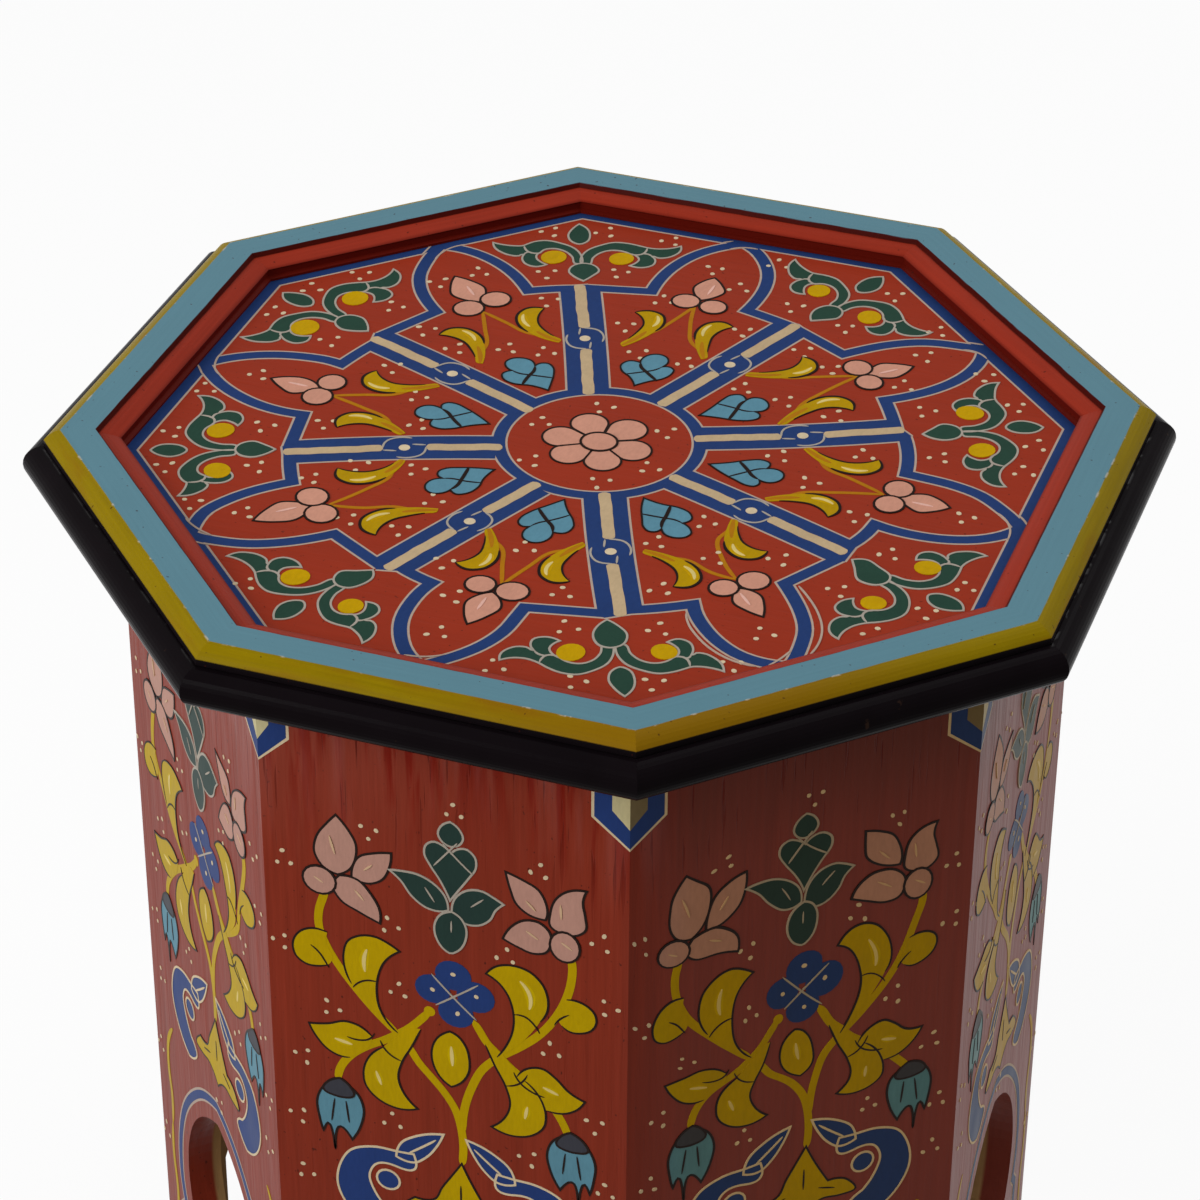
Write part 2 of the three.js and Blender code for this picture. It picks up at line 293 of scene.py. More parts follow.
class Wire:
    # a socket that can be used in sums; every other node comes from node()
    def __init__(self, tree, socket=None):
        self.tree = tree
        self.socket = socket

    def node(self, kind, settings=None, sockets=None, output=0):
        made = self.tree.nodes.new(kind)
        for name, value in (settings or {}).items():
            setattr(made, name, value)
        for name, value in (sockets or {}).items():
            if isinstance(value, Wire):
                self.tree.links.new(value.socket, made.inputs[name])
            else:
                made.inputs[name].default_value = value
        return Wire(self.tree, made.outputs[output] if len(made.outputs) else None)

    def math(self, operation, *values):
        return self.node("ShaderNodeMath", {"operation": operation}, dict(enumerate(values)))

    def __add__(self, other):
        return self.math("ADD", self, other)

    def __sub__(self, other):
        return self.math("SUBTRACT", self, other)

    def __rsub__(self, other):
        return self.math("SUBTRACT", other, self)

    def __mul__(self, other):
        return self.math("MULTIPLY", self, other)

    __radd__ = __add__
    __rmul__ = __mul__

    def size(self):
        return self.math("ABSOLUTE", self)

    def larger(self, other):
        return self.math("MAXIMUM", self, other)

    def swing(self, weight):
        # how far a noise is from its middle, weighted
        return (self - 0.5) * weight

    def axis(self, name):
        return self.node("ShaderNodeSeparateXYZ", None, {"Vector": self}, name)

    def rise(self, low, high):
        # 0 below low, 1 above high, a soft step between
        return self.node("ShaderNodeMapRange", {"interpolation_type": "SMOOTHSTEP"},
                         {"Value": self, "From Min": low, "From Max": high})

    def blend(self, first, second, how="MIX"):
        # first where this wire is 0, second where it is 1; the mix node's colours share their
        # names with other sockets, so they go by number
        return self.node("ShaderNodeMix", {"data_type": "RGBA", "blend_type": how},
                         {0: self, 6: first, 7: second}, 2)

    def bright(self, colour, low, high):
        # the colour from low to high times its brightness as this wire goes from 0 to 1
        ends = ((*(part * times for part in colour[:3]), 1) for times in (low, high))
        return self.blend(*ends)

    def shade(self, first, second):
        # the first shader where this wire is 0, the second where it is 1
        return self.node("ShaderNodeMixShader", None, {0: self, 1: first, 2: second})


def pigment(code):
    # a colour code as the linear values that Blender mixes in, by the sRGB curve
    parts = [int(code[start:start + 2], 16) / 255 for start in (1, 3, 5)]
    return (*(((part + 0.055) / 1.055) ** 2.4 if part > 0.04045 else part / 12.92 for part in parts), 1)


def startMaterial(name):
    material = bpy.data.materials.new(name)
    material.use_nodes = True
    material.node_tree.nodes.clear()
    here = Wire(material.node_tree)
    return material, here, here.node("ShaderNodeTexCoord", output="Object")


def endMaterial(here, colour, roughness, bump, strength, sheen=0.03, fixed=None):
    # sheen is how strongly the surface mirrors; the white surroundings would bleach a higher one
    normal = here.node("ShaderNodeBump", None, {"Height": bump, "Strength": strength, "Distance": bumpDepth})
    shader = here.node("ShaderNodeBsdfPrincipled", None, {
        "Base Color": colour, "Roughness": roughness, "Specular IOR Level": sheen, "Normal": normal,
        **(fixed or {})})
    here.node("ShaderNodeOutputMaterial", None, {"Surface": shader})


def noise(point, scale, stretch, detail, shift):
    # soft noise; a stretch below 1 draws it out along that axis
    moved = point.node("ShaderNodeMapping", None, {
        "Vector": point, "Location": tuple(shift * share for share in shiftBy), "Scale": stretch})
    return point.node("ShaderNodeTexNoise", None, {
        "Vector": moved, "Scale": scale, "Detail": detail, "Roughness": noiseRoughness})


# The settings of a surface are a dictionary. In it a noise is its scale, stretch, detail and
# shift, and a name ending in From is where something begins and where it is whole.

brushLook = {"fine": (900, (1, 0.5, 0.25), 2), "slow": (60, (1, 1, 0.6), 2), "slowShift": 3, "tone": 0.65,
             "tones": (0.8, 1.2), "roughness": 0.42, "uneven": 0.25, "bump": 0.12,
             "eastFrom": (0.06, 0.09), "eastShadeTint": (0.92, 0.79, 0.58, 1)}


def brushPaint(name, code, seed, sheen, shadedEast):
    # a thin coat of bright paint: its brightness goes with brush streaks and with slow patches;
    # on the eastern boards a side paint is times a brownish yellow: painted shade, warmer and
    # dimmer as if away from the window
    look = brushLook
    material, here, point = startMaterial(name)
    fine = noise(point, *look["fine"], seed)
    slow = noise(point, *look["slow"], seed + look["slowShift"])
    tone = fine.swing(look["tone"]) + slow.swing(look["tone"]) + 0.5
    colour = tone.bright(pigment(code), *look["tones"])
    # painted shade: the paints of the eastern boards are made warmer and dimmer
    if shadedEast:
        colour = point.axis("X").rise(*look["eastFrom"]).blend(colour, look["eastShadeTint"], "MULTIPLY")
    endMaterial(here, colour, look["roughness"] + slow.swing(look["uneven"]), fine, look["bump"], sheen)
    return material


topCodes = {
    "outlineCream": "#b4a091", "royalBlue": "#233b6e", "barCream": "#c2a985",
    "dotCream": "#d6c3a2", "petalPink": "#cd937d", "petalLight": "#e2b3a4",
    "leafBlue": "#5c8c9f", "leafGreen": "#264337", "paleLine": "#aba296",
    "hornYellow": "#b48f04", "ballYellow": "#c39a02", "hornLight": "#dcc87e", "stemOchre": "#b07410",
    "outlineBlack": "#221612", "capGrey": "#3b3c44", "bracketCream": "#c6bd93", "bracketDarker": "#7d6f50"}
# some dried another way on the boards
boardCodes = {**topCodes, "petalPink": "#b98c7e", "petalLight": "#cfae8c", "leafGreen": "#233833",
              "hornYellow": "#b89a00", "ballYellow": "#c4a800", "royalBlue": "#233a72"}
# the paints of the sides take painted shade on the eastern boards
paintAreas = {"top": {"codes": topCodes, "sheen": 0.02, "shadedEast": False},
              "side": {"codes": boardCodes, "sheen": 0.06, "shadedEast": True}}


def paintMaterial(area, paint):
    # the streaks of a colour are its own: their seed is twice its place in the list
    kind = paintAreas[area]
    seed = 2.0 * list(kind["codes"]).index(paint)
    return brushPaint(f"{area}_{paint}", kind["codes"][paint], seed, kind["sheen"], kind["shadedEast"])


print("paints listed:", len(topCodes))


# The painting on the top: drawn in plan, looking down, +Y up the page. A cell is drawn with its
# own outward direction up the page and turned into place; cell 0 is the one towards +Y.

def topPlace(degrees=0.0):
    def place(points, height):
        drawn = turned(points, degrees)
        return np.column_stack((drawn, np.full(len(drawn), fieldHeight + height))) * mm
    return place


# One entry a cell. left and right: the two blue bands. crossing: where a band's cream edge runs
# on over the blue. leaf and horns: the marks below. stem: where both stems start. joint, round,
# long: the flower's joint, its two round petals, and its long petal's middle, half-width and
# point. dots: the middles of the threes.
cells = [
    {"left": ([(-45, 106)],
              [(-19.5, 112), (-19.7, 120), (-18, 133), (-13.5, 145), (-6, 155), (1, 160.5), (7, 163.5)]),
     "right": ([(2, 162), (8, 158.5), (14.5, 151), (19.5, 141), (21.7, 130), (21.7, 120)],
               [(20.5, 110.5), (36, 106), (42, 104)]),
     "crossing": ([(-1.5, 155.2), (2.4, 158.2), (9.5, 159.3)], [(-6, 159.5), (-2, 162.5)]),
     "leaf": [(-1.9, 40.6), (-12.5, 55), (-4.7, 56.7), (-0.2, 66), (3.1, 56.9), (8.7, 54.8)],
     "bold": "fromLeft",
     "horns": ([(-16.5, 67.5), (-7.2, 91.2), (-13.1, 97.5), (-21.9, 92.5), (-13.1, 86.2)],
               [(16.2, 68.7), (7.2, 88), (13.7, 98), (19, 97.5), (15.6, 86.2)]),
     "stem": (0.3, 107), "joint": (1, 112), "round": ((-4.3, 109.3, 5.7), (7.3, 108.3, 5.5)),
     "long": ((1.5, 121), 6.4, (0.5, 131)),
     "dots": [(-1.6, 137.4), (12.1, 126.6), (-12.5, 107), (-20, 82.7), (24, 94), (11, 63.3), (-8.2, 64)]},
    {"left": ([(-42, 103.5)],
              [(-17.5, 110.5), (-17.5, 118), (-16.5, 130), (-12.5, 143), (-5, 153.5), (1.5, 160), (6, 163)]),
     "right": ([(2, 161.5), (8, 157), (13, 151), (18, 141), (20.5, 130), (20.7, 118)],
               [(19.5, 108.5), (37, 103), (41, 101.5)]),
     "crossing": ([(-1, 154), (3, 157.8), (9, 158.8)], [(-5.5, 158), (-1, 163)]),
     "leaf": [(0, 39.8), (-8.4, 58.4), (-2, 60.6), (1.9, 66.5), (6, 59.4), (11.6, 57)], "bold": "fromLeft",
     "horns": ([(-19.7, 69.4), (-10, 91.2), (-16.2, 98.1), (-23.5, 95), (-15.6, 86.2)],
               [(18.7, 63.5), (8.1, 87.5), (15, 96.9), (22.5, 93.7), (14.4, 85.6)]),
     "stem": (-0.5, 108), "joint": (0, 111), "round": ((-6, 110.6, 5.8), (5.5, 109.3, 5.5)),
     "long": ((0.7, 120), 5.8, (2, 130.5)),
     "dots": [(-3, 138), (13.2, 119.7), (-26, 97.4), (-9.5, 101), (22, 85.5), (4, 74), (-11, 63.5)]},
    {"left": ([(-40, 104.5), (-28, 109.5)],
              [(-14.5, 112.5), (-14, 120), (-13, 130), (-9.5, 142), (-2.5, 152), (3, 158), (9, 162.5)]),
     "right": ([(8, 161), (13.5, 157), (19, 150), (23, 140), (24.5, 130), (24.2, 120)],
               [(22.5, 111.5), (31, 110), (39, 107)]),
     "crossing": ([(0, 150.8), (4.7, 155.8), (9, 158), (16, 159)], [(-1, 158.5), (2, 161.5), (5, 163.5)]),
     "leaf": [(3.7, 42.5), (-5.6, 61.2), (-0.2, 62.8), (3.1, 70.6), (7.5, 62.2), (13.1, 61.4)],
     "bold": "fromRight",
     "horns": ([(-19.4, 72.7), (-7.7, 92.5), (-15, 103.5), (-20.6, 102.2), (-14.4, 88.7)],
               [(19.7, 69.4), (10.4, 88.7), (18.1, 97.1), (24.4, 93.7), (16.9, 86.2)]),
     "stem": (2, 109), "joint": (2, 114.5), "round": ((-3.5, 113, 5.8), (7.8, 112.6, 5.8)),
     "long": ((3, 124), 6.3, (2.5, 134)),
     "dots": [(7.3, 140.8), (19.3, 103.9), (-21.8, 94), (3.5, 81), (-10.6, 65)]},
    {"left": ([(-41, 109)],
              [(-15.5, 115.5), (-14.5, 123), (-12.5, 133), (-8.5, 144), (-2, 153), (3, 158.5), (7, 162)]),
     "right": ([(7, 161.5), (14, 156), (19, 149), (22, 139), (22.5, 128), (21, 118)],
               [(19.5, 113.5), (32, 110.5), (41, 107.5)]),
     "crossing": ([(2, 153.5), (6.5, 156), (13.5, 158.5)],
                  [(-19.2, 119), (-18.9, 127), (-17.5, 136.3), (-13.8, 146.6), (-8.6, 153.8), (-2.5, 158.7)],
                  [(24.2, 117.5), (26.5, 124), (27.2, 132.2), (26.3, 141.5), (23.3, 149.7), (17.6, 156.8)]),
     "leaf": [(4.6, 43.7), (-6.2, 60), (0.2, 64.5), (1.9, 73.5), (7.5, 65), (13.5, 61.9)],
     "bold": "fromRight",
     "horns": ([(-18.5, 70.6), (-6.5, 88.7), (-13.1, 96.9), (-20, 94.7), (-15.6, 86.2)],
               [(20.2, 75.6), (7.9, 96.2), (14.4, 103.5), (21.2, 101.5), (16.2, 89.4)]),
     "stem": (-1.5, 106), "joint": (0.7, 111.2), "round": ((-6.5, 109.3, 6), (5.2, 109, 5.4)),
     "long": ((1, 118.5), 5.4, (1, 131)),
     "dots": [(5.8, 140.5), (-21, 101), (25.5, 100.3), (-0.3, 90.2), (-8.7, 68.2), (14, 72.3)]},
    {"left": ([(-40, 110)],
              [(-12, 116), (-11.5, 122), (-10.5, 132), (-6.5, 143), (-0.5, 152), (5, 158), (9, 162)]),
     "right": ([(9, 162), (17, 155), (22, 147), (25.5, 137), (26.3, 127), (25.5, 118)],
               [(24, 112.5), (34, 109), (38, 107)]),
     "crossing": ([(3.5, 152.8), (8, 155.7), (16.5, 157.6)],),
     "leaf": [(-1, 45), (-10.4, 61.5), (-4.6, 67), (0.6, 76), (4.4, 66.2), (9.7, 61.9)], "bold": "fromLeft",
     "horns": ([(-17.5, 70.2), (-7.7, 88.7), (-15, 98.1), (-21.9, 95.2), (-15.6, 86.9)],
               [(17.9, 72.7), (7.9, 92), (15.6, 100.2), (21, 97.5), (15.2, 89)]),
     "stem": (0.5, 105.5), "joint": (1.8, 110.8), "round": ((-4.5, 108.1, 6.1), (7.6, 107.7, 5.6)),
     "long": ((2, 119), 6.4, (3, 132.5)),
     "dots": [(10.4, 141), (14.1, 118), (-20.9, 103), (24.7, 98.8), (1.2, 80)]},
    {"left": ([(-45, 108.5)],
              [(-18.5, 115.5), (-18, 123), (-16, 134), (-12, 145), (-5.5, 154.5), (1, 161), (5, 163.5)]),
     "right": ([(3, 162), (9, 158), (15, 152), (19, 142), (20.8, 132), (21, 123)],
               [(20.5, 116), (34, 111.5), (39, 109.5)]),
     "crossing": ([(-1, 155.5), (4, 158), (13.5, 160)], [(-6.5, 158.5), (-4, 161), (-1.5, 163)]),
     "leaf": [(-2.9, 45.6), (-13.1, 60.6), (-8.7, 66.2), (-5.2, 73.5), (-1.5, 64.8), (6.2, 61.9)],
     "bold": "fromLeft",
     "horns": ([(-19.4, 75.6), (-10, 97.5), (-17.5, 106.9), (-28.7, 101.9), (-18.7, 91.2)],
               [(17.5, 73.7), (7.9, 91.2), (16.2, 101.5), (24.4, 97.5), (13.7, 86.2)]),
     "stem": (0.5, 110), "joint": (2.5, 115.5), "round": ((-4, 114.6, 6.3), (7.8, 113.2, 6.2)),
     "long": ((2.8, 125), 6.7, (2, 138.5)),
     "dots": [(8.6, 139.5), (-11.3, 107.3), (20, 109), (-25.5, 93), (21.6, 89.5), (-12.6, 74), (9.5, 71.5)]},
    {"left": ([(-46, 107)],
              [(-22, 111.5), (-22.5, 118), (-21.5, 128), (-17.5, 140), (-11, 151), (-4, 158.5), (1, 162.5)]),
     "right": ([(0, 161.5), (6, 156), (11, 149), (15.5, 139), (18, 128), (18.5, 118)],
               [(17.5, 112.5), (31, 108.5), (38, 106)]),
     "crossing": ([(-6, 152.5), (-2.4, 156.3), (2.5, 158.3), (9, 159)], [(-8, 159), (-4, 162), (-1.5, 164)]),
     "leaf": [(-4.6, 43.5), (-14, 60), (-8.7, 64.3), (-4.6, 72.9), (-0.6, 64.1), (5, 61.2)],
     "bold": "fromRight",
     "horns": ([(-22.1, 71.2), (-13.1, 90), (-19.4, 98.1), (-27.5, 97.2), (-20.6, 86.2)],
               [(15.6, 71.5), (2.5, 93.7), (11.2, 101.9), (19, 97.5), (10.6, 87.5)]),
     "stem": (-5.5, 107), "joint": (-2, 113), "round": ((-8, 111.7, 6.1), (3.4, 110.5, 5.7)),
     "long": ((-3, 122), 6, (-1.5, 133.5)),
     "dots": [(-0.4, 139), (-25, 101.5), (22, 93.5), (5, 76), (-14.2, 68.5)]},
    {"left": ([(-45, 106)],
              [(-18, 114), (-18, 121), (-16.8, 131), (-12.5, 143), (-6, 152), (2, 160), (6, 163)]),
     "right": ([(6, 161.5), (12, 156), (17, 148), (20.5, 138), (22, 128), (22, 120)],
               [(21.5, 114), (33, 110.5), (39, 108)]),
     "crossing": ([(-2, 152.3), (2.4, 156.5), (6.3, 158.6), (15.5, 159)],
                  [(-5, 158.5), (-1, 162), (2.5, 165)]),
     "leaf": [(-3.7, 40.6), (-15.6, 55.8), (-10, 59.6), (-6.9, 68), (-0.6, 59), (5.6, 56.4)],
     "bold": "fromRight",
     "horns": ([(-18.5, 70.2), (-9.7, 91.2), (-17.5, 100), (-26.2, 97.2), (-17.5, 86.2)],
               [(16, 72.7), (6.6, 92.5), (16.2, 103.1), (22.5, 98.7), (13.1, 86.2)]),
     "stem": (-1.5, 106.5), "joint": (0.5, 114), "round": ((-5.5, 111, 6.2), (7, 113, 6.1)),
     "long": ((0, 123.5), 7, (0, 137)),
     "dots": [(-8, 135), (10, 135.5), (-27.5, 102.5), (25.3, 103.3), (-23, 84.5), (-4.8, 76), (7.4, 67.5)]}]

# one row a corner, clockwise from the one right of cell 0: root, crest, ball, tip, lobe and
# underside of the left and the right scroll, the size of its ball, the drop (top, point,
# half-width) and the bud (point, foot)
corners = [
    {"left": ([(-0.5, 138), (-15, 153), (-12.5, 141), (-36, 155.5), (-20, 133), (-28, 143.5)], 4.7),
     "right": ([(3.2, 138), (15, 151.5), (15.5, 138), (41, 145), (25.5, 128), (33, 137)], 4.9),
     "drop": ((1.5, 135.5), (0.5, 120.5), 5.4), "bud": ((-1, 167), (-0.5, 150.8))},
    {"left": ([(-1, 137), (-12, 152), (-12.5, 138.5), (-34, 152.5), (-18, 132), (-28, 144)], 5.2),
     "right": ([(2.5, 137), (14, 153), (14.5, 139.5), (40, 144.5), (23, 132), (33.5, 137)], 5),
     "drop": ((1, 133.5), (2, 119), 5.7), "bud": ((-1, 164.5), (-1.5, 150.5))},
    {"left": ([(2.5, 139.5), (-9, 155), (-12, 143.5), (-32, 154.5), (-18, 135), (-25.5, 145)], 4.7),
     "right": ([(5.5, 138.5), (17, 156), (18.5, 143.5), (44, 148.5), (26, 134.3), (37, 140)], 4.5),
     "drop": ((5, 138.5), (2, 120.5), 5.7), "bud": ((1, 169.5), (1.5, 154.5))},
    {"left": ([(1.5, 140), (-11, 154.5), (-13.5, 141.5), (-32.5, 155), (-20, 133), (-27, 144)], 4.7),
     "right": ([(5.5, 139.5), (17, 154), (18.5, 140.5), (42.5, 143.5), (28, 130), (37, 136.5)], 5.2),
     "drop": ((4.5, 138), (5, 121), 5.9), "bud": ((1.5, 167.5), (2, 150))},
    {"left": ([(1, 138), (-11, 154.5), (-10.5, 143), (-28.5, 157.5), (-17, 136), (-25, 145.5)], 4.6),
     "right": ([(5, 137.5), (19, 156), (17, 143), (45, 149.5), (25, 136), (36.5, 142)], 5.2),
     "drop": ((2, 136.5), (0, 121.5), 5.8), "bud": ((3.5, 166.5), (4, 152))},
    {"left": ([(-4, 139), (-17, 157), (-16.5, 142.5), (-32.5, 156.5), (-22, 136.5), (-28, 147.5)], 5.2),
     "right": ([(-0.5, 139), (11, 155), (12, 142), (37.5, 151.5), (21, 133.5), (31, 141.5)], 5.2),
     "drop": ((-2, 136), (-2.5, 121.5), 5.6), "bud": ((-1, 167.5), (-1.5, 154))},
    {"left": ([(-4, 139), (-18, 153), (-16.5, 141), (-38, 155), (-25.5, 132), (-32, 142.5)], 5.8),
     "right": ([(-0.5, 139), (13, 155.5), (13, 143), (40.5, 149), (21, 133), (32, 138.5)], 5.4),
     "drop": ((-2, 136.5), (-2, 121), 5.8), "bud": ((-3, 167), (-2.5, 151.5))},
    {"left": ([(-3.5, 138), (-17, 155), (-12.5, 140.5), (-36, 154.5), (-20.5, 132), (-30, 144)], 5.3),
     "right": ([(-0.5, 137.5), (12.5, 152), (14.5, 138), (38.5, 147.5), (23.5, 130), (33, 139)], 5),
     "drop": ((-1, 134.5), (-1.5, 120.5), 6), "bud": ((-1, 168), (-1.5, 151))}]

# the middles of the threes in each corner
cornerDots = [
    [(12, 158.2), (-11.7, 124.3), (13.8, 125.3), (42, 147), (-38.5, 147)],
    [(-16.2, 156.8), (12, 160), (30, 152.8), (-39, 147.5), (-14.5, 122), (19, 123.5)],
    [(-11, 161), (10.5, 161), (33, 155.5), (-9.8, 127.7), (20.6, 129.1)],
    [(-8.6, 160), (17.5, 158), (-36.5, 150.6), (-12, 127.5), (19, 125), (45, 148)],
    [(27, 157.5)],
    [(-12.5, 162), (12, 160), (-38, 151), (-13.8, 128.5), (14.3, 126), (43, 148.8)],
    [(-15.3, 158.5), (7.5, 161.5), (28, 155), (-17.3, 126.5), (19, 127)],
    [(-13, 162), (9.5, 160.4), (35.5, 152), (-16, 127.3), (13, 126.6)]]


# middle of the border band on each side of the octagon, from cell 0 on, clockwise
borderMiddles = (162.4, 161.2, 161.6, 162.7, 162.7, 162.0, 161.6, 162.0)


def borderCorners(shift):
    # where the middles of neighbouring sides, moved outwards by the shift, meet
    angles = pi / 2 - np.radians(sideTurn) * np.arange(sides)
    normals = np.column_stack((np.cos(angles), np.sin(angles)))
    pairs = np.stack((normals, np.roll(normals, -1, axis=0)), axis=1)
    distances = np.column_stack((borderMiddles, np.roll(borderMiddles, -1))) + shift
    return np.linalg.solve(pairs, distances[..., None])[..., 0]


# the widths of the bands, and how far apart their points are drawn
bands = {"casing": 0.85, "divider": 15.7, "shoulder": 4.7, "border": 4.4, "underRim": 1.0, "drawn": 3.4,
         "fromMedallion": 2.5, "overlap": 1.5}

# inner end, knot and outer end of each divider, clockwise from the one right of cell 0
dividers = np.array([
    ((12, 30), (27.3, 68), (42.5, 106.5)), ((31.5, 11.5), (69, 27.4), (103.5, 44.5)),
    ((32, -16.5), (67, -29), (107.5, -44.5)), ((13, -35.5), (28.3, -72), (45.5, -110)),
    ((-12, -37.5), (-26, -70.4), (-42.5, -110)), ((-33, -18.5), (-67, -31.2), (-108, -49.5)),
    ((-31.8, 9.5), (-70, 25.3), (-109, 40.5)), ((-16, 28.5), (-31.6, 68), (-48, 107.5))])

# the cream bars of the dividers, and the dot and gap of their knots
bars = {"width": 4.5, "step": 0.8, "unsteady": 0.15, "taper": 1, "knotGap": 8.0, "dot": 2.15, "dotPoints": 14}

# the knot's two loops and two ties, as outward and rightward distances from its dot
knot = ([(-8, 0), (-6, -5.5), (-1, -7.3), (3, -6.5)], [(8, 0), (6, 5.5), (1, 7.3), (-3, 6.5)],
        [(-8, 1.5), (-3, 2.2)], [(8, -1.5), (3, -2.2)])


def paintBands(coats):
    # cream casings first, blue over them, cream bars last, so that crossing bands join cleanly
    casing, under, shoulder, drawn = (bands[name] for name in ("casing", "underRim", "shoulder", "drawn"))
    coats.place = topPlace()
    coats.stroke("outlineCream", borderCorners(-casing), bands["border"], "casing", closed=True)
    coats.stroke("royalBlue", borderCorners(under / 2), bands["border"] + under, "blue", closed=True)
    ring = oval(medallion["centre"], medallion["ring"], points=medallion["ringPoints"])
    for paint, extra, lift in (("outlineCream", 2 * casing, "casing"), ("royalBlue", 0, "blue")):
        coats.place = topPlace()
        coats.stroke(paint, ring, medallion["band"] + extra, lift, closed=True)
        for inner, knotAt, outer in dividers:
            along = heading(inner, outer)
            ends = [inner + bands["fromMedallion"] * along, knotAt, outer - shoulder / 2 * along]
            coats.stroke(paint, path(ends, step=2 * drawn), bands["divider"] + extra, lift)
        for number in range(sides):
            after = (number + 1) % sides
            start = turned(cells[number]["right"][-1][-1:], -sideTurn * number)[0]
            end = turned(cells[after]["left"][0][:1], -sideTurn * after)[0]
            over = bands["overlap"] * heading(start, end)
            coats.stroke(paint, [start - over, end + over], shoulder + extra, lift)
        for number, cell in enumerate(cells):
            coats.place = topPlace(-sideTurn * number)
            for side in ("left", "right"):
                coats.stroke(paint, path(*cell[side], step=drawn + extra / 2), shoulder + extra, lift)
    for number, cell in enumerate(cells):
        coats.place = topPlace(-sideTurn * number)
        for line in cell["crossing"]:
            coats.mark("outlineCream", "crossing", "line", line)
    coats.place = topPlace()
    for inner, knotAt, outer in dividers:
        along = heading(inner, outer)
        right = np.array((along[1], -along[0]))
        gap = bars["knotGap"] * along
        for ends in ((inner, knotAt - gap), (knotAt + gap, outer)):
            bar = wavering(evenly(np.array(ends), bars["step"]), bars["unsteady"])
            coats.stroke("barCream", bar, bars["width"], "bar", taper=bars["taper"])
        coats.fill("dotCream", oval(knotAt, bars["dot"], points=bars["dotPoints"]), "bar")
        for arc in knot:
            line = [out * along + aside * right + knotAt for out, aside in arc]
            coats.mark("paleLine", "knot", "line", line)


# petals: middle and half-width
medallion = {"centre": (-0.5, -2.8), "ring": 37.3, "ringPoints": 72, "band": 4.6,
             "eye": (-0.7, -2.8), "eyeSize": (6.9, 6.5), "eyeLine": 0.9, "eyePoints": 24,
             "petals": [(-8.5, 8.5, 7.1), (6.5, 9, 7.4), (13, -4.3, 7.1), (5, -15, 6.9),
                        (-8.5, -14.5, 6.9), (-15.3, -4, 7)],
             "petalTurn": 115, "petalPoints": 13, "petalLine": 0.8,
             "dots": [(-7.6, 21), (20.4, 12), (22.7, -13.7), (8.8, -29.2), (-20.2, -23.8), (-25.6, 3.5)]}


def paintMedallion(coats):
    # each petal is a circle kept within its wedge: the lines from the eye halfway to its
    # neighbours bound it, so that neighbours share them
    coats.place = topPlace()
    eye = np.array(medallion["eye"])
    petals = np.array(medallion["petals"])
    middles, radii = petals[:, :2] - eye, petals[:, 2]
    angles = np.unwrap(np.arctan2(middles[:, 1], middles[:, 0]))
    firsts = (np.r_[angles[-1] + 2 * pi, angles[:-1]] + angles) / 2
    lasts = (np.r_[angles[1:], angles[0] - 2 * pi] + angles) / 2
    turns = np.radians(np.linspace(medallion["petalTurn"], -medallion["petalTurn"], medallion["petalPoints"]))
    for middle, radius, angle, first, last in zip(middles, radii, angles, firsts, lasts):
        outer = middle + radius * np.column_stack((np.cos(angle + turns), np.sin(angle + turns)))
        reach = np.linalg.norm(outer, axis=1)
        bearing = np.unwrap(np.r_[angle, np.arctan2(outer[:, 1], outer[:, 0])])[1:]
        bearing = np.clip(bearing, last, first)
        outer = reach[:, None] * np.column_stack((np.cos(bearing), np.sin(bearing)))
        petal = np.vstack(([(0, 0)], evenly(smooth(outer)))) + eye
        coats.fill("petalPink", petal, "fill")
        coats.stroke("outlineBlack", petal, medallion["petalLine"], "line", closed=True)
    coats.fill("petalPink", oval(eye, *medallion["eyeSize"]), "light")
    edge = oval(eye, *medallion["eyeSize"], points=medallion["eyePoints"])
    coats.stroke("outlineBlack", edge, medallion["eyeLine"], "top", closed=True)
    for spot in medallion["dots"]:
        coats.threeDots(spot)


# the flower's petals: how wide the long one is below and above its middle, as parts of its
# half-width there; how high a round one is for its width
flower = {"low": 0.72, "high": 0.68, "round": 0.96, "shine": [(0.1, -4), (0.15, 4)]}


def paintFlower(coats, cell):
    middle, half, point = cell["long"]
    joint, middle, point = np.array((cell["joint"], middle, point), float)
    low, high = (joint + middle) / 2, (middle + point) / 2
    lowHalf, wholeHalf, highHalf = ((half * part, 0) for part in (flower["low"], 1, flower["high"]))
    petal = loop([joint, low - lowHalf, middle - wholeHalf, high - highHalf],
                 [point, high + highHalf, middle + wholeHalf, low + lowHalf])
    outlined(coats, "petalPink", petal, 0)
    for step, (x, y, radius) in enumerate(cell["round"], 1):
        outlined(coats, "petalPink", oval((x, y), radius, radius * flower["round"]), step)
    coats.mark("petalLight", "petalShine", "light", [middle + (half * x, y) for x, y in flower["shine"]])


def fitted(shape, wanted, right=True):
    # a drawing laid on a cell: mirrored if it is a left one, and nudged mark by mark
    toSide = np.array((1, 1) if right else (-1, 1))
    marks = np.array(shape["marks"], float) * toSide
    moves = np.array(wanted) - marks

    def laid(points):
        return nudged(np.asarray(points, float) * toSide, marks, moves, shape["reach"], hold=0.001)
    return laid


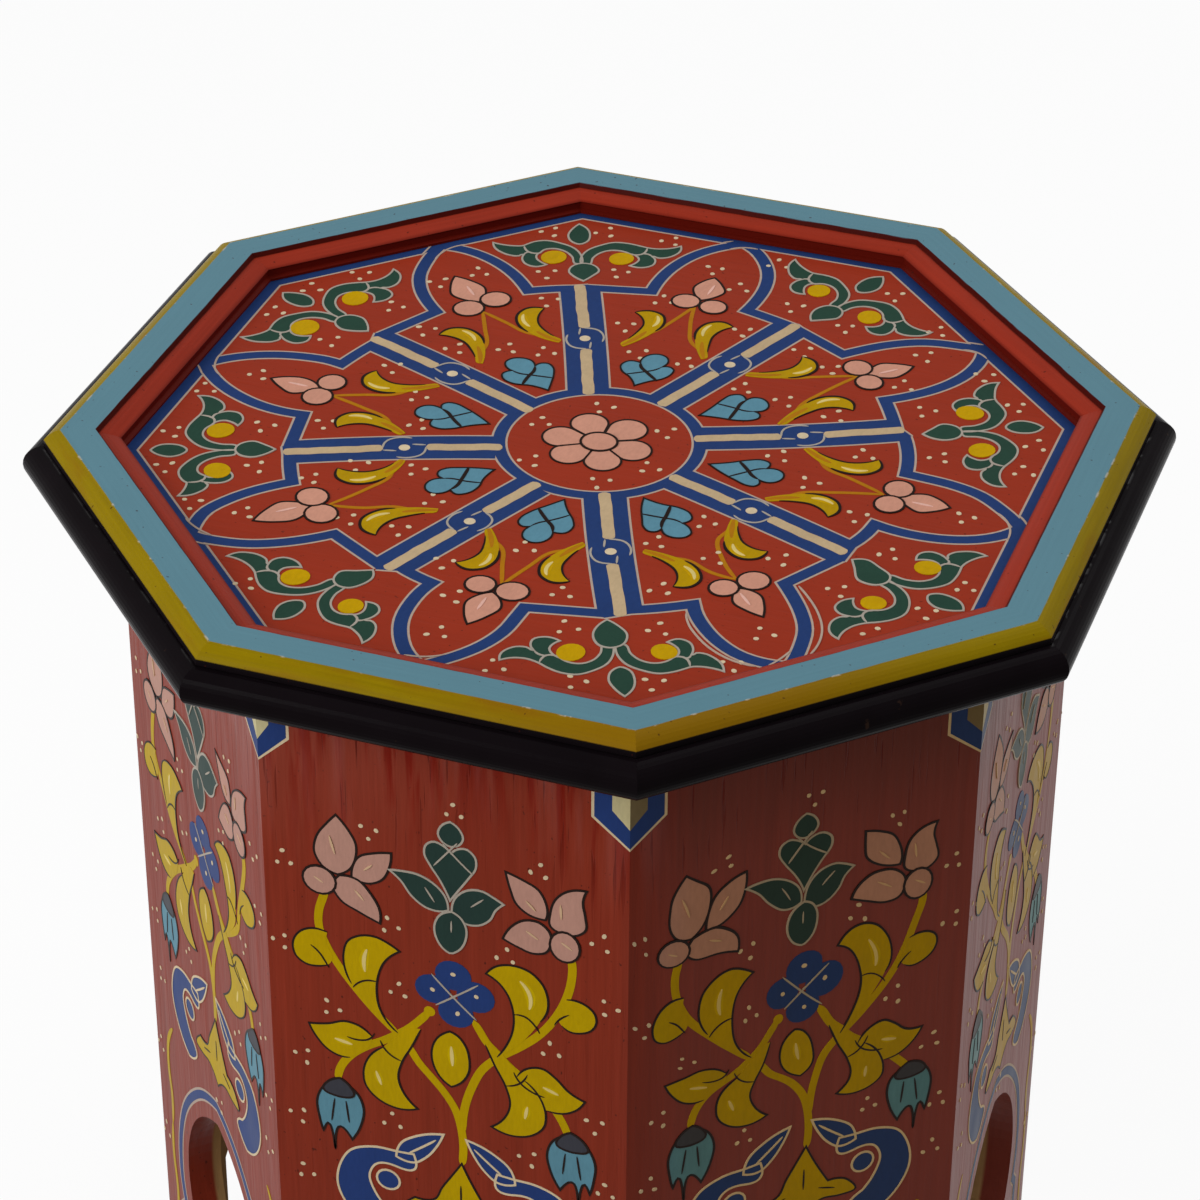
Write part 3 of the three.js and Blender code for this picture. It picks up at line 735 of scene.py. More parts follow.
# the right horn, drawn once; a cell says where its marks lie there: tail, belly, crest, end,
# hollow. Its stem runs by two points given from the belly and one given from halfway between
# tail and belly
hornShape = {"reach": 8.0, "marks": [(17.9, 72.7), (7.9, 92), (15.6, 100.2), (21, 97.5), (15.2, 89)],
             "back": [(17.1, 72.1), (12.6, 78.2), (9.2, 85), (7.9, 92), (10.5, 98), (15.6, 100.2)],
             "hollow": [(21, 97.5), (17.3, 94), (15.2, 89), (15.7, 83), (17.3, 77.6), (18.8, 73.4)],
             "shine": [(12.3, 96.8), (10.7, 93.5), (11.3, 88)],
             "stem": [(-3.3, 2), (1, -9), (1.5, -4)], "stemWidth": 1.6, "stemTaper": 5, "stemStep": 1.5}


def paintHorn(coats, wanted, stem, right):
    laid = fitted(hornShape, wanted, right)
    tail, belly = np.array(wanted[:2], float)
    toSide = np.array((1, 1) if right else (-1, 1))
    near, under, low = np.array(hornShape["stem"]) * toSide
    route = [stem, belly + near, belly + under, (tail + belly) / 2 + low, tail]
    coats.stroke("stemOchre", path(route, step=hornShape["stemStep"]), hornShape["stemWidth"], "blue",
                 taper=hornShape["stemTaper"])
    back, hollow, shine = (laid(hornShape[name]) for name in ("back", "hollow", "shine"))
    coats.fill("hornYellow", loop(back, hollow), "dot")
    coats.mark("outlineBlack", "hornBack", "line", [*back[2:], hollow[0]])
    coats.mark("outlineBlack", "hornHollow", "line", hollow[:-1])
    coats.mark("stemOchre", "hornRoot", "root", (back[:3] + hollow[-1:-4:-1]) / 2)
    coats.mark("ballYellow", "hornGlow", "glow", shine)
    coats.mark("hornLight", "hornShine", "light", shine)


# the leaf, drawn once; a cell says where its marks lie there: tip, left lobe, left notch, top,
# right notch, right lobe
leafShape = {"reach": 6.0, "line": 0.7,
             "marks": [(-1, 45), (-10.2, 61.5), (-4.6, 67), (0.3, 76), (4.4, 66.2), (9.7, 61.9)],
             "outline": ([(-1, 45), (-4.5, 51.5), (-8.5, 57), (-10.2, 61.5), (-8.9, 66)],
                         [(-4.6, 67), (-5, 71), (-3, 74.8), (0.3, 76), (3.9, 74.3), (5.4, 71)],
                         [(4.4, 66.2), (7.3, 67), (9.5, 65), (9.7, 61.9), (7.5, 56.5), (3.5, 51)]),
             "fromLeft": [(-4.4, 66.8), (-3, 63.5), (0, 60.5), (6, 53.5)],
             "fromRight": [(4.2, 65.8), (2.5, 63), (-1, 60), (-6.5, 54)]}


def paintLeaf(coats, cell):
    laid = fitted(leafShape, cell["leaf"])
    outline = loop(*(laid(run) for run in leafShape["outline"]))
    coats.fill("leafBlue", outline, "fill")
    coats.stroke("outlineBlack", outline, leafShape["line"], "line", closed=True)
    for name in ("fromLeft", "fromRight"):
        brush = "leafBold" if name == cell["bold"] else "thin"
        coats.mark("outlineBlack", brush, "line", laid(leafShape[name]))


# the corner scroll, drawn once from its root round its ball to its tip
scroll = {"marks": [(5.5, 138.5), (17, 156), (18.5, 143.5), (44, 148.5), (26, 134.3), (37, 140)],
          "reach": 8.0, "ball": (1.03, 0.95),
          "outline": ([(3.8, 135.8), (4, 142), (6.5, 149), (11, 153.5), (17, 156), (22, 155), (27, 152),
                       (30, 149.5), (34, 147.5), (39, 147)],
                      [(44, 148.5), (43, 144), (40.5, 141.5), (37, 140), (33, 140.5), (30.7, 142.5)],
                      [(30.5, 142.5), (31.5, 139), (30, 135.5), (26, 134.3)],
                      [(21, 136.5), (23.5, 138.5), (25, 141), (24.5, 144)],
                      [(22, 146.5), (19, 149), (15, 149.5), (11, 147), (8.3, 142), (6.8, 135.8)]),
          "lines": ([(22, 146), (26, 145), (29.5, 149.5)], [(26, 145.3), (28.5, 145), (30.6, 142.3)])}


def paintScroll(coats, wanted, ballSize, right):
    laid = fitted(scroll, wanted, right)
    outlined(coats, "leafGreen", loop(*(laid(run) for run in scroll["outline"])))
    for line in scroll["lines"]:
        coats.mark("paleLine", "scroll", "line", laid(line))
    across, up = (ballSize * part for part in scroll["ball"])
    coats.fill("ballYellow", oval(wanted[2], across, up, hand.uniform(0, 180)), "light")


# the drop: its half-width near both ends as a part of the whole one, and how far its rows lie
# from its point, its middle and its top. The bud: half-widths and how far each row is above the
# middle, the middle and the foot
drop = {"narrow": 0.6, "fromPoint": 3.8, "level": 1, "fromTop": 1, "crown": 0.3}

budHalves = ((3.2, 4), (4.4, -1), (2.8, 1.8))


def paintCorner(coats, corner):
    for side in ("left", "right"):
        paintScroll(coats, *corner[side], side == "right")
    (topX, topY), (x, y), half = corner["drop"]
    narrow, level = half * drop["narrow"], (topY + y) / 2 + drop["level"]
    rows = [(x, narrow, y + drop["fromPoint"]), (topX, half, level), (topX, narrow, topY - drop["fromTop"])]
    outlined(coats, "leafGreen", twoSided((x, y), rows, (topX, topY + drop["crown"])), 2)
    (topX, topY), (x, y) = corner["bud"]
    starts = ((topX, (topY + y) / 2), (x, (topY + y) / 2), (x, y))
    rows = [(middle, half, height + up) for (middle, height), (half, up) in zip(starts, budHalves)]
    outlined(coats, "leafGreen", twoSided((topX, topY), rows, (x, y)))


topCoats = Coats("top", "field_paint")
paintBands(topCoats)
paintMedallion(topCoats)
for number, cell in enumerate(cells):
    topCoats.place = topPlace(-sideTurn * number)
    paintLeaf(topCoats, cell)
    for wanted, right in zip(cell["horns"], (False, True)):
        paintHorn(topCoats, wanted, cell["stem"], right)
    paintFlower(topCoats, cell)
    for spot in cell["dots"]:
        topCoats.threeDots(spot)
for number, (corner, spots) in enumerate(zip(corners, cornerDots)):
    topCoats.place = topPlace(-sideTurn * (number + 0.5))
    paintCorner(topCoats, corner)
    for spot in spots:
        topCoats.threeDots(spot)
topCoats.finish()


# The painting on the sides: drawn on board 1 as seen from outside, across from the board's
# middle and up from the floor. The others repeat it by hand, a little out of place.

# how far a point's move takes its surroundings along, the height from which a drawing sags and the
# boards where it does, how far the points stray on boards 3 to 8, and the drawing's own middle
# line, right of the board's
drawing = {"reach": 9.0, "top": 380.0, "sagging": {2: 0.05}, "strays": 2.2, "middle": 2.5}

# points of the drawing on board 1, and how far the same points lie from there on board 2
anchorTable = np.array([(3, 391, -4, -1.5), (6, 376, -5, -1), (-19, 365, -1, -0.5), (22.5, 360.5, -5.5, 1.5),
                        (3, 342.5, -4, -1.5), (-41, 357, -5.5, -8.5), (-40.5, 383.5, -8.5, -7.5),
                        (-20, 371.5, -7, 1.5), (-25, 341, -1, -1), (-47.5, 353.5, -4.5, -11.5),
                        (40.5, 354, 1.5, -2.5), (53, 374, -0.5, -5), (24, 375, 3, -0.5), (22.5, 346, -4, 2),
                        (45, 348.5, 1.5, -4.5), (-17.5, 328.5, -3, -3.5), (-39, 320, -3, -6),
                        (16, 328, -0.5, -1), (39, 320, -3, -7), (-53.5, 322.5, 0.5, -12),
                        (50.5, 317.7, -1.5, -2), (2.7, 313.7, -3, -2), (-48.5, 334, -3, -5),
                        (2.5, 297, -4.5, -3.5), (-35, 306, 0, -6), (30, 302, 0, -1), (24, 290, -3.4, -7.6),
                        (31, 284.5, -1.7, -5.4), (35, 277.5, -3, -6.2), (-19, 290, 0, -5),
                        (-6, 304.5, -2, -5), (11, 304.5, -3, -4.5)], float)
anchors, secondBoard = anchorTable[:, :2], anchorTable[:, 2:]


def boardPlace(number, moves=None, sag=0.0):
    # the drawing's marks moved as told; sag lowers it more the further down it goes
    angle = radians(sideTurn * number)

    def place(points, height):
        drawn = np.asarray(points, float)
        if moves is not None:
            drawn = nudged(drawn, anchors, moves, drawing["reach"])
            drawn[:, 1] += sag * (drawn[:, 1] - drawing["top"])
        x, z = drawn.T
        out = sideFace + height
        return np.column_stack((x * cos(angle) + out * sin(angle), x * sin(angle) - out * cos(angle), z)) * mm
    return place


# on the right side, from the top edge down; casing: how far the cream line reaches beyond the
# blue. short: board and side of the two short ones
bracket = {"blue": [(56, 440), (56, 407), (69, 396)], "cream": [(62.5, 440), (62.5, 411), (69, 404)],
           "casing": [(-1.1, 0), (-1.1, -0.495), (0, -1.1)], "edge": 69, "fromTop": 0.2,
           "short": ((7, 1), (0, -1)), "shorterBy": (2, 5), "darkerBoard": 1}


def paintBrackets(coats, number):
    # at both upper corners a pointed blue patch with a cream line round it and cream in it, cut
    # off at the board's top edge; two of them are drawn shorter, and those of board 2 are darker
    top = sideHigh.z / mm - bracket["fromTop"]
    inside = "bracketDarker" if number == bracket["darkerBoard"] else "bracketCream"
    for side in (-1, 1):
        across, up = bracket["shorterBy"] if (number, side) in bracket["short"] else (0, 0)
        blue, cream = ([(side * min(x + across, bracket["edge"]), y + up) for x, y in bracket[name]]
                       for name in ("blue", "cream"))
        casing = [(x + side * aside, y + down) for (x, y), (aside, down) in zip(blue, bracket["casing"])]
        corner = (side * bracket["edge"], bracket["blue"][0][1])
        for paint, lift, points in (("dotCream", "casing", casing), ("royalBlue", "blue", blue),
                                    (inside, "bar", cream)):
            coats.fill(paint, [(x, min(y, top)) for x, y in (*points, corner)], lift)


# the stems above the fan, and the round end of one
stems = {"width": 3.2, "step": 2, "taper": 3, "stub": ((-6.4, 304), 2.2), "stubPoints": 14,
         "lines": ([(-44.5, 352), (-46.5, 345), (-48, 340), (-48.5, 332), (-46, 324), (-41, 315),
                    (-34, 305.5), (-27, 297.5), (-19, 290)],
                   [(46.5, 346), (48, 340.4), (47.6, 331.3), (45, 321.5), (41.2, 313.2), (35.1, 304.1),
                    (27.5, 296.4), (19.7, 289.6), (14, 283), (9.5, 273), (6.5, 262), (5.5, 250)],
                   [(-6.4, 304), (-10.2, 298.8), (-15, 293.3), (-19, 289.8), (-24.6, 285.4), (-31, 281),
                    (-38, 274.5), (-42, 268), (-43.5, 261)],
                   [(10.3, 304.5), (12.2, 301.4), (16, 295), (19.8, 291.5), (24, 287), (30, 282.5),
                    (37, 276.5), (43, 269), (47, 259)],
                   [(-19, 290), (-14.5, 284.5), (-11.2, 279), (-6, 273), (-1, 267), (3, 260), (5, 252),
                    (5, 234)])}


def paintStems(coats):
    for line in stems["lines"]:
        line = path(line, step=stems["step"])
        coats.stroke("hornYellow", line, stems["width"], "fill", taper=stems["taper"])
    coats.fill("hornYellow", oval(*stems["stub"], points=stems["stubPoints"]), "fill")


# the green sprig at the top: shapes of one or more runs, then the pale lines on them
sprig = {
    "bud": (([(3, 391), (-0.6, 388.2), (-1.7, 384.6), (0.2, 381.4), (3, 380.3), (5.8, 381.4), (7.7, 384.6),
              (6.6, 388.2)],),),
    "heart": (([(2.4, 356.5), (-1.5, 365), (-5, 370.5), (-7, 375), (-6.2, 379), (-3, 381), (0.2, 380)],
               [(3.2, 377.5), (5.5, 379.8), (9, 380.6), (12, 378), (12.4, 373.5), (9.5, 368), (5.8, 362)]),),
    "leaves": (([(1.7, 352), (0.5, 358), (-4.5, 363), (-10, 365), (-15, 365)],
                [(-20.5, 364.3), (-16, 360.5), (-12.5, 355.3), (-6.3, 351), (-2, 350.7)]),
               ([(3, 352), (4.6, 358.5), (9.6, 363), (14.5, 363.8), (19, 362)],
                [(22.6, 360), (19.5, 356.5), (17.5, 352), (13, 348.3), (8, 347.8), (5, 349.5)])),
    "foot": (([(3, 351.8), (-1.2, 349.5), (-3.6, 344.5), (-3, 338.5), (-0.3, 334.3), (2.2, 333), (5, 334.7),
               (8.1, 340.5), (8.3, 346), (6.2, 350)],),),
    "lines": ([(0.1, 381.2), (5.5, 375.5), (11.3, 370.2)], [(5.6, 382.6), (1, 376.5), (-3.5, 370.6)],
              [(-7, 360.2), (-3.4, 354.4)], [(10.3, 355.8), (15.1, 360.4)], [(2.8, 347.7), (2.7, 342.6)])}


def paintSprig(coats):
    for step, name in enumerate(("bud", "heart", "leaves", "foot")):
        for runs in sprig[name]:
            outlined(coats, "leafGreen", loop(*runs), step)
    for line in sprig["lines"]:
        coats.mark("paleLine", "sprig", "top", line)


# petals of two runs, then round ones: middle, half-width and half-height
pinkPetals = {
    "left": (([(-40.3, 357), (-45.5, 358.8), (-49, 364.5), (-48, 372), (-44, 378.5)],
              [(-40.3, 383.2), (-36.2, 378.4), (-33, 372), (-33.2, 366.5), (-36, 360)]),
             ([(-35, 357.3), (-34.3, 362.5), (-32, 366.9), (-26.5, 369.8)],
              [(-19.6, 371.6), (-20.6, 364.5), (-23.6, 358.7), (-29.5, 355.8)]),
             ([(-39.8, 356.8), (-42.3, 351), (-39.5, 345.8), (-33, 342.5)],
              [(-24.6, 339.2), (-24.6, 345), (-27.8, 351.5), (-32.5, 356.5)])),
    "right": (([(23.4, 374.6), (30, 372.5), (35.5, 369.8), (38.2, 365), (38.8, 359.5)],
               [(38.2, 357.3), (31.5, 358.2), (27, 362), (25.2, 367)]),
              ([(53.4, 373.8), (47, 372.3), (42, 367.5), (40, 361), (40.2, 354.8)],
               [(43, 353.3), (48.5, 353), (53, 356.5), (52.8, 363), (52, 368.5)]),
              ([(22.2, 345), (25.5, 351.2), (30.5, 355.2), (36, 355.5), (39.8, 352)],
               [(40, 347), (38.5, 343.2), (33.5, 341.3), (28, 342.6)])),
    "roundStep": 3, "round": (((-47.5, 352.9), 6.4, 6.1), ((45.4, 347.3), 5.6, 6.6)),
    "shines": ([(-43, 373.5), (-42.2, 370.1), (-41.1, 366)], [(-30.2, 361.5), (-27, 364.6)],
               [(-34, 352), (-30.5, 348)], [(31, 364), (34.5, 360.5)], [(43.8, 365.6), (44.1, 359.3)],
               [(31, 350.8), (35.5, 348)], [(-49.5, 354), (-46, 352)], [(44, 349.2), (48.2, 346.6)])}


def paintPetals(coats):
    for side in ("left", "right"):
        for step, petal in enumerate(pinkPetals[side]):
            outlined(coats, "petalPink", loop(*petal), step)
    for centre, across, up in pinkPetals["round"]:
        outlined(coats, "petalPink", oval(centre, across, up), pinkPetals["roundStep"])
    for line in pinkPetals["shines"]:
        coats.mark("petalLight", "pale", "top", line)


# yellow shapes that grow out of a stem: their second run lies in the stem and gets no dark line.
# Two upper horns, two leaves, two lower horns, two buds
openShapes = (
    ([(-17.4, 328.3), (-21, 330.5), (-27, 332.5), (-33, 331.3), (-37.3, 328), (-39.2, 322), (-38.8, 314.5)],
     [(-36.5, 308.5), (-29, 300), (-20.5, 291)],
     [(-19, 290.5), (-22.6, 294), (-25.8, 300), (-26.8, 308), (-26, 315), (-23.4, 322)]),
    ([(15.6, 327.3), (20.1, 332), (25.4, 333.6), (32.2, 332.5), (36.8, 328.3), (39, 321.7), (38.4, 315.3)],
     [(36, 311), (30, 301), (22.5, 292.5)],
     [(19.4, 290), (22.9, 296.1), (25.6, 304.2), (25.7, 313.4), (23.6, 320.2), (20, 324.8)]),
    ([(-54, 285.4), (-46.5, 287.2), (-39.3, 290.2), (-33.9, 289.4)], [(-29.4, 286), (-30, 281), (-34, 277)],
     [(-38.2, 273.6), (-42, 273.2), (-46.2, 274.6), (-51.5, 280.2)]),
    ([(53, 278.6), (46.8, 281.5), (42.1, 286.2), (36.9, 289.4), (31.2, 288)],
     [(27, 283), (31, 277), (35, 273)], [(38.4, 270.4), (44.6, 270.7), (49.7, 273.8)]),
    ([(-12, 256.5), (-19, 254.5), (-27, 256.5), (-32.2, 262), (-33, 268.5), (-32, 273), (-29.3, 278)],
     [(-25, 282), (-19, 289), (-14, 294)],
     [(-10, 294.6), (-13.6, 285.7), (-17.7, 277), (-19.3, 269), (-17, 262)]),
    ([(17, 256.5), (24, 254.5), (32, 256.5), (37.2, 262), (38, 268.5), (37, 273), (34.3, 278)],
     [(30, 282), (24, 289), (19, 294)], [(15, 294.6), (18.6, 285.7), (22.7, 277), (24.3, 269), (22, 262)]),
    ([(-45.3, 329.6), (-50, 330.2), (-55.6, 327.7), (-59, 321.5), (-57.8, 315.5), (-54, 313), (-49.5, 313.2)],
     [(-45.3, 314.9), (-43.6, 318), (-45.8, 325)]),
    ([(46, 323.8), (49.4, 324.2), (53.2, 323.2), (56.5, 320.3), (57.2, 316.3), (55.3, 312.3), (51.5, 310),
      (47.5, 309.5)], [(44.2, 311.5), (42.5, 315), (44.5, 320.5)]))

# the middle bud and the fan below, then the dark lines and the light ones on all yellow shapes
yellowParts = {
    "line": 0.8,
    "shapes": (([(1.3, 296.8), (-3.4, 292.8), (-5.8, 286.5), (-5.3, 279.5), (-2, 273.5)],
                [(1.5, 271), (5.2, 273.8), (8.3, 279.5), (8.7, 285.5), (7.2, 291.8), (4.2, 295.6)]),
               ([(5, 235), (1, 228), (-3, 221), (-6, 214.5)],
                [(-14, 213), (-19, 206), (-12, 205.5), (-5, 206.5)],
                [(4, 201), (13, 206.5), (20, 205.5), (27, 206), (22, 213)],
                [(15, 214.5), (12, 220), (8, 228)])),
    "lines": ([(-36, 307), (-33.2, 310.2), (-30.1, 311.8), (-26.4, 312)],
              [(26.2, 311.6), (30.6, 311.6), (33.6, 309.2), (35.8, 305.6)],
              [(-28.2, 287.6), (-30.5, 284.3), (-35, 282.8), (-39, 283.2)],
              [(25.8, 284.8), (29.1, 279.7), (33, 277.4), (37.6, 276.4)],
              [(-26, 285), (-23.1, 280.2), (-17.9, 277.6)], [(31, 285), (28.1, 280.2), (22.9, 277.6)],
              [(-52, 322.3), (-48.8, 319.7), (-46.5, 316.1), (-45.2, 313.6)],
              [(46.9, 317.1), (43.5, 314.3), (41.4, 311)], [(4.5, 224), (4.5, 214)],
              [(-10, 210), (-3, 212.5)], [(18, 210), (11, 212.5)]),
    "shines": ([(-30, 326), (-31.3, 321), (-31, 315.5)], [(28.5, 327.5), (32.3, 321.5), (32, 315.5)],
               [(-44, 281), (-37, 280)], [(37, 281), (43, 279)], [(-28, 270), (-26, 264)],
               [(31, 270), (30, 264)], [(1.8, 290), (2.2, 281)])}


def paintYellow(coats):
    for upper, base, *lower in openShapes:
        coats.fill("hornYellow", loop(upper, base, *lower), "dot")
        coats.mark("outlineBlack", "openShape", "line", *lower, [*upper, base[0]])
    for shape in yellowParts["shapes"]:
        coats.fill("hornYellow", loop(*shape), "dot")
        coats.stroke("outlineBlack", loop(*shape), yellowParts["line"], "line", closed=True)
    for line in yellowParts["lines"]:
        coats.mark("outlineBlack", "thin", "light", line)
    for line in yellowParts["shines"]:
        coats.mark("ballYellow", "boardGlow", "root", line)
        coats.mark("hornLight", "boardLight", "light", line)


# petals: middle and half-width
blueFlower = {"round": 0.94, "dotSize": 0.85,
              "petals": (((3, 322.8), 7), ((-5, 314.7), 6.8), ((11.5, 315.3), 7.3), ((3.8, 306), 6.9)),
              "cross": ([(-5.3, 321.6), (3, 313), (11.7, 304.9)], [(12.6, 321.2), (4, 314), (-3.9, 307.7)]),
              "dots": ((3, 323.5), (-5, 314.5), (11.8, 315.7), (4.5, 306))}


def paintBlueFlower(coats):
    for centre, radius in blueFlower["petals"]:
        coats.fill("royalBlue", oval(centre, radius, radius * blueFlower["round"]), "flower")
    for line in blueFlower["cross"]:
        coats.mark("paleLine", "thin", "light", line)
    for centre in blueFlower["dots"]:
        coats.dot("dotCream", centre, blueFlower["dotSize"], "light")


# The lower half is drawn for the left side, and laid on both.

bell = {"outline": ([(-42.5, 261), (-49, 257), (-52, 250), (-51.5, 242)], [(-50, 235), (-48.5, 239)],
                    [(-45.5, 227), (-42.5, 239)], [(-38.5, 234), (-34.5, 243), (-33.5, 250), (-36, 257)]),
        "capStep": 2,
        "cap": ([(-42.5, 262.5), (-47, 260), (-49.5, 256)], [(-43, 253.5), (-37, 256), (-39, 260)]),
        "lines": ([(-45, 252), (-46.5, 241)], [(-40.5, 252), (-39.5, 242)])}


def paintBell(coats, laid):
    for paint, name, step in (("leafBlue", "outline", None), ("capGrey", "cap", bell["capStep"])):
        outlined(coats, paint, loop(*(laid(run) for run in bell[name])), step)
    for line in bell["lines"]:
        coats.mark("outlineBlack", "thin", "light", laid(line))


hook = {"outline": ([(-14, 234), (-20, 233.5), (-30, 233), (-39, 229), (-44, 220), (-45, 210), (-42, 202),
                     (-36, 195)], [(-29, 191.5), (-23.5, 194), (-19.5, 198.5)],
                    [(-25, 204), (-30, 211), (-32, 219), (-29, 225)], [(-21, 226), (-14, 226.5)]),
        "leaf": ([(-21, 231), (-19, 238), (-13, 243)], [(-2, 247), (-5, 240), (-9, 234), (-14, 230)]),
        "leafLine": [(-16, 234), (-10, 239), (-5, 243.5)], "ball": ((-24.5, 218.5), 4.6)}


def paintHook(coats, laid):
    for name in ("outline", "leaf"):
        outlined(coats, "royalBlue", loop(*(laid(run) for run in hook[name])))
    coats.mark("dotCream", "pale", "light", laid(hook["leafLine"]))
    centre, radius = hook["ball"]
    outlined(coats, "royalBlue", oval(laid([centre])[0], radius))


# from the hook down to the foot
lowerStems = {"width": 2.6, "taper": 8,
              "lines": ([(-49, 190), (-55, 180), (-57, 165), (-55, 150), (-56.5, 135)],
                        [(-56.5, 135), (-58, 118), (-56, 100), (-57.5, 84)])}


def paintLowerStems(coats, laid):
    for line in lowerStems["lines"]:
        line = path(laid(line), step=stems["step"])
        coats.stroke("hornYellow", line, lowerStems["width"], "fill", taper=lowerStems["taper"])


def acrossBoard(points):
    # the same points on the right half: mirrored about the drawing's own middle line
    return [(2 * drawing["middle"] - x, y) for x, y in points]


# the threes of dots: how far apart, how large, and their middles
boardThree = {"spread": 3.4, "radius": 0.85}
boardDots = [(-27, 379.5), (-61, 359), (-20.5, 339), (36, 378), (59.3, 351.7), (24, 338), (-19, 310.3),
             (-63.7, 320.8), (62, 323.3), (-46, 295.7), (40.5, 298), (5, 396), (-56, 270), (57, 268),
             (-22, 248), (31, 246), (-60, 240), (61, 238), (-58, 212), (59, 214), (5, 192), (-64, 172),
             (64, 170), (-64, 126), (64, 128), (-63.5, 70), (63.5, 74), (-60, 40), (61, 36)]


def paintBoard(coats):
    for paintPart in (paintStems, paintSprig, paintPetals, paintYellow, paintBlueFlower):
        paintPart(coats)
    for laid in (list, acrossBoard):
        for paintPart in (paintBell, paintHook, paintLowerStems):
            paintPart(coats, laid)
    for centre in boardDots:
        coats.threeDots(np.array(centre) + hand.uniform(-1, 1, 2), **boardThree)


# the right half: the leg from foot to shoulder, then the lobe up to the point
arch = {"legs": 50.5, "foot": 3.0, "shoulder": 94.0, "width": 3.6, "lines": 2.0, "step": 3.2,
        "curve": [(45.8, 99.5), (48.8, 111), (49, 122.6), (46.5, 138), (40, 155), (29, 170), (14.5, 182)],
        "top": 187.5}


def paintArch(coats):
    # a blue band with cream lines follows the opening, from floor to floor
    foot, shoulder = (arch["legs"], arch["foot"]), (arch["legs"], arch["shoulder"])
    curve = arch["curve"]
    leftFoot, leftShoulder, *leftCurve = ((-x, y) for x, y in (foot, shoulder, *curve))
    band = path([leftFoot], [leftShoulder], leftCurve, [(0, arch["top"]), *curve[:0:-1]], [curve[0]],
                [shoulder, foot], step=arch["step"])
    coats.stroke("outlineCream", band, arch["width"] + arch["lines"], "casing")
    coats.stroke("royalBlue", band, arch["width"], "blue")


boardCoats = Coats("side", "panel_paint")
for number in range(sides):
    if number == 0:
        moves = None
    elif number == 1:
        moves = secondBoard
    else:
        moves = hand.normal(0, drawing["strays"], secondBoard.shape)
    boardCoats.place = boardPlace(number, moves, drawing["sagging"].get(number, 0.0))
    paintBoard(boardCoats)
    boardCoats.place = boardPlace(number)
    paintBrackets(boardCoats, number)
    paintArch(boardCoats)
boardCoats.finish()


# Surfaces of the imported nodes.

# painted light among these: a paler and a greyer board red stand for sheen; the darker board reds below the
# moulding and the dark reds of the rim's quirk and foot stand for shade
finish = {"fieldRed": "#97311b", "boardRed": "#84301f", "rimRed": "#96301f", "rimBlue": "#5e8795",
          "rimYellow": "#8d7603", "edgeBlack": "#100b0e", "stain": "#85560a", "footShadeRed": "#5c1209",
          "quirkShadeRed": "#450d07", "deepStreakAndShade": "#7e1507", "crackRed": "#5a0f05", "westSheenRed": "#944537",
          "eastSheenRed": "#7f3b30", "shadedBoard": "#643127", "rubbed": "#4a3426", "bareWood": "#b08a5c",
          "steel": "#8d8f91", "worn": "#b7b2a4", "speck": "#3a1712"}
finish = {name: pigment(code) for name, code in finish.items()}


def apothem(point):
    # distance from the stool's axis to the side of the octagon that the point lies on
    x, y = point.axis("X"), point.axis("Y")
    slanted = (x + y).size().larger((x - y).size()) * (1 / sqrt(2))
    return x.size().larger(y.size()).larger(slanted)


def roundTheRing(point):
    # distance from the axis, height, and way round the stool, so that streaks follow the sides
    x, y, z = (point.axis(name) for name in "XYZ")
    wayRound = point.math("ARCTAN2", y, x) * (sideFace * mm)
    return point.node("ShaderNodeCombineXYZ", None, {"X": apothem(point), "Y": z, "Z": wayRound})


def specked(point, colour, look):
    # small dark specks where a fine noise peaks
    specks = noise(point, *look["speck"]).rise(*look["speckFrom"]) * look["specks"]
    return specks.blend(colour, finish["speck"])


fieldLook = {"ridge": (520, (0.12, 1, 1), 3, 1.0), "slow": (18, (1, 1, 1), 3, 4.0),
             "ridgeTone": 0.45, "slowTone": 0.7, "tones": (0.78, 1.22),
             "speck": (700, (1, 1, 1), 1, 9.0), "speckFrom": (0.72, 0.78), "specks": 0.6,
             "roughness": 0.42, "uneven": 0.2, "bump": 0.35}


def fieldPaint():
    # red paint brushed along one direction: fine ridges, slow patches, darker specks
    look = fieldLook
    material, here, point = startMaterial("fieldPaint")
    ridge, slow = (noise(point, *look[name]) for name in ("ridge", "slow"))
    tone = ridge.swing(look["ridgeTone"]) + slow.swing(look["slowTone"]) + 0.5
    colour = specked(point, tone.bright(finish["fieldRed"], *look["tones"]), look)
    endMaterial(here, colour, look["roughness"] + slow.swing(look["uneven"]), ridge, look["bump"])
    return material


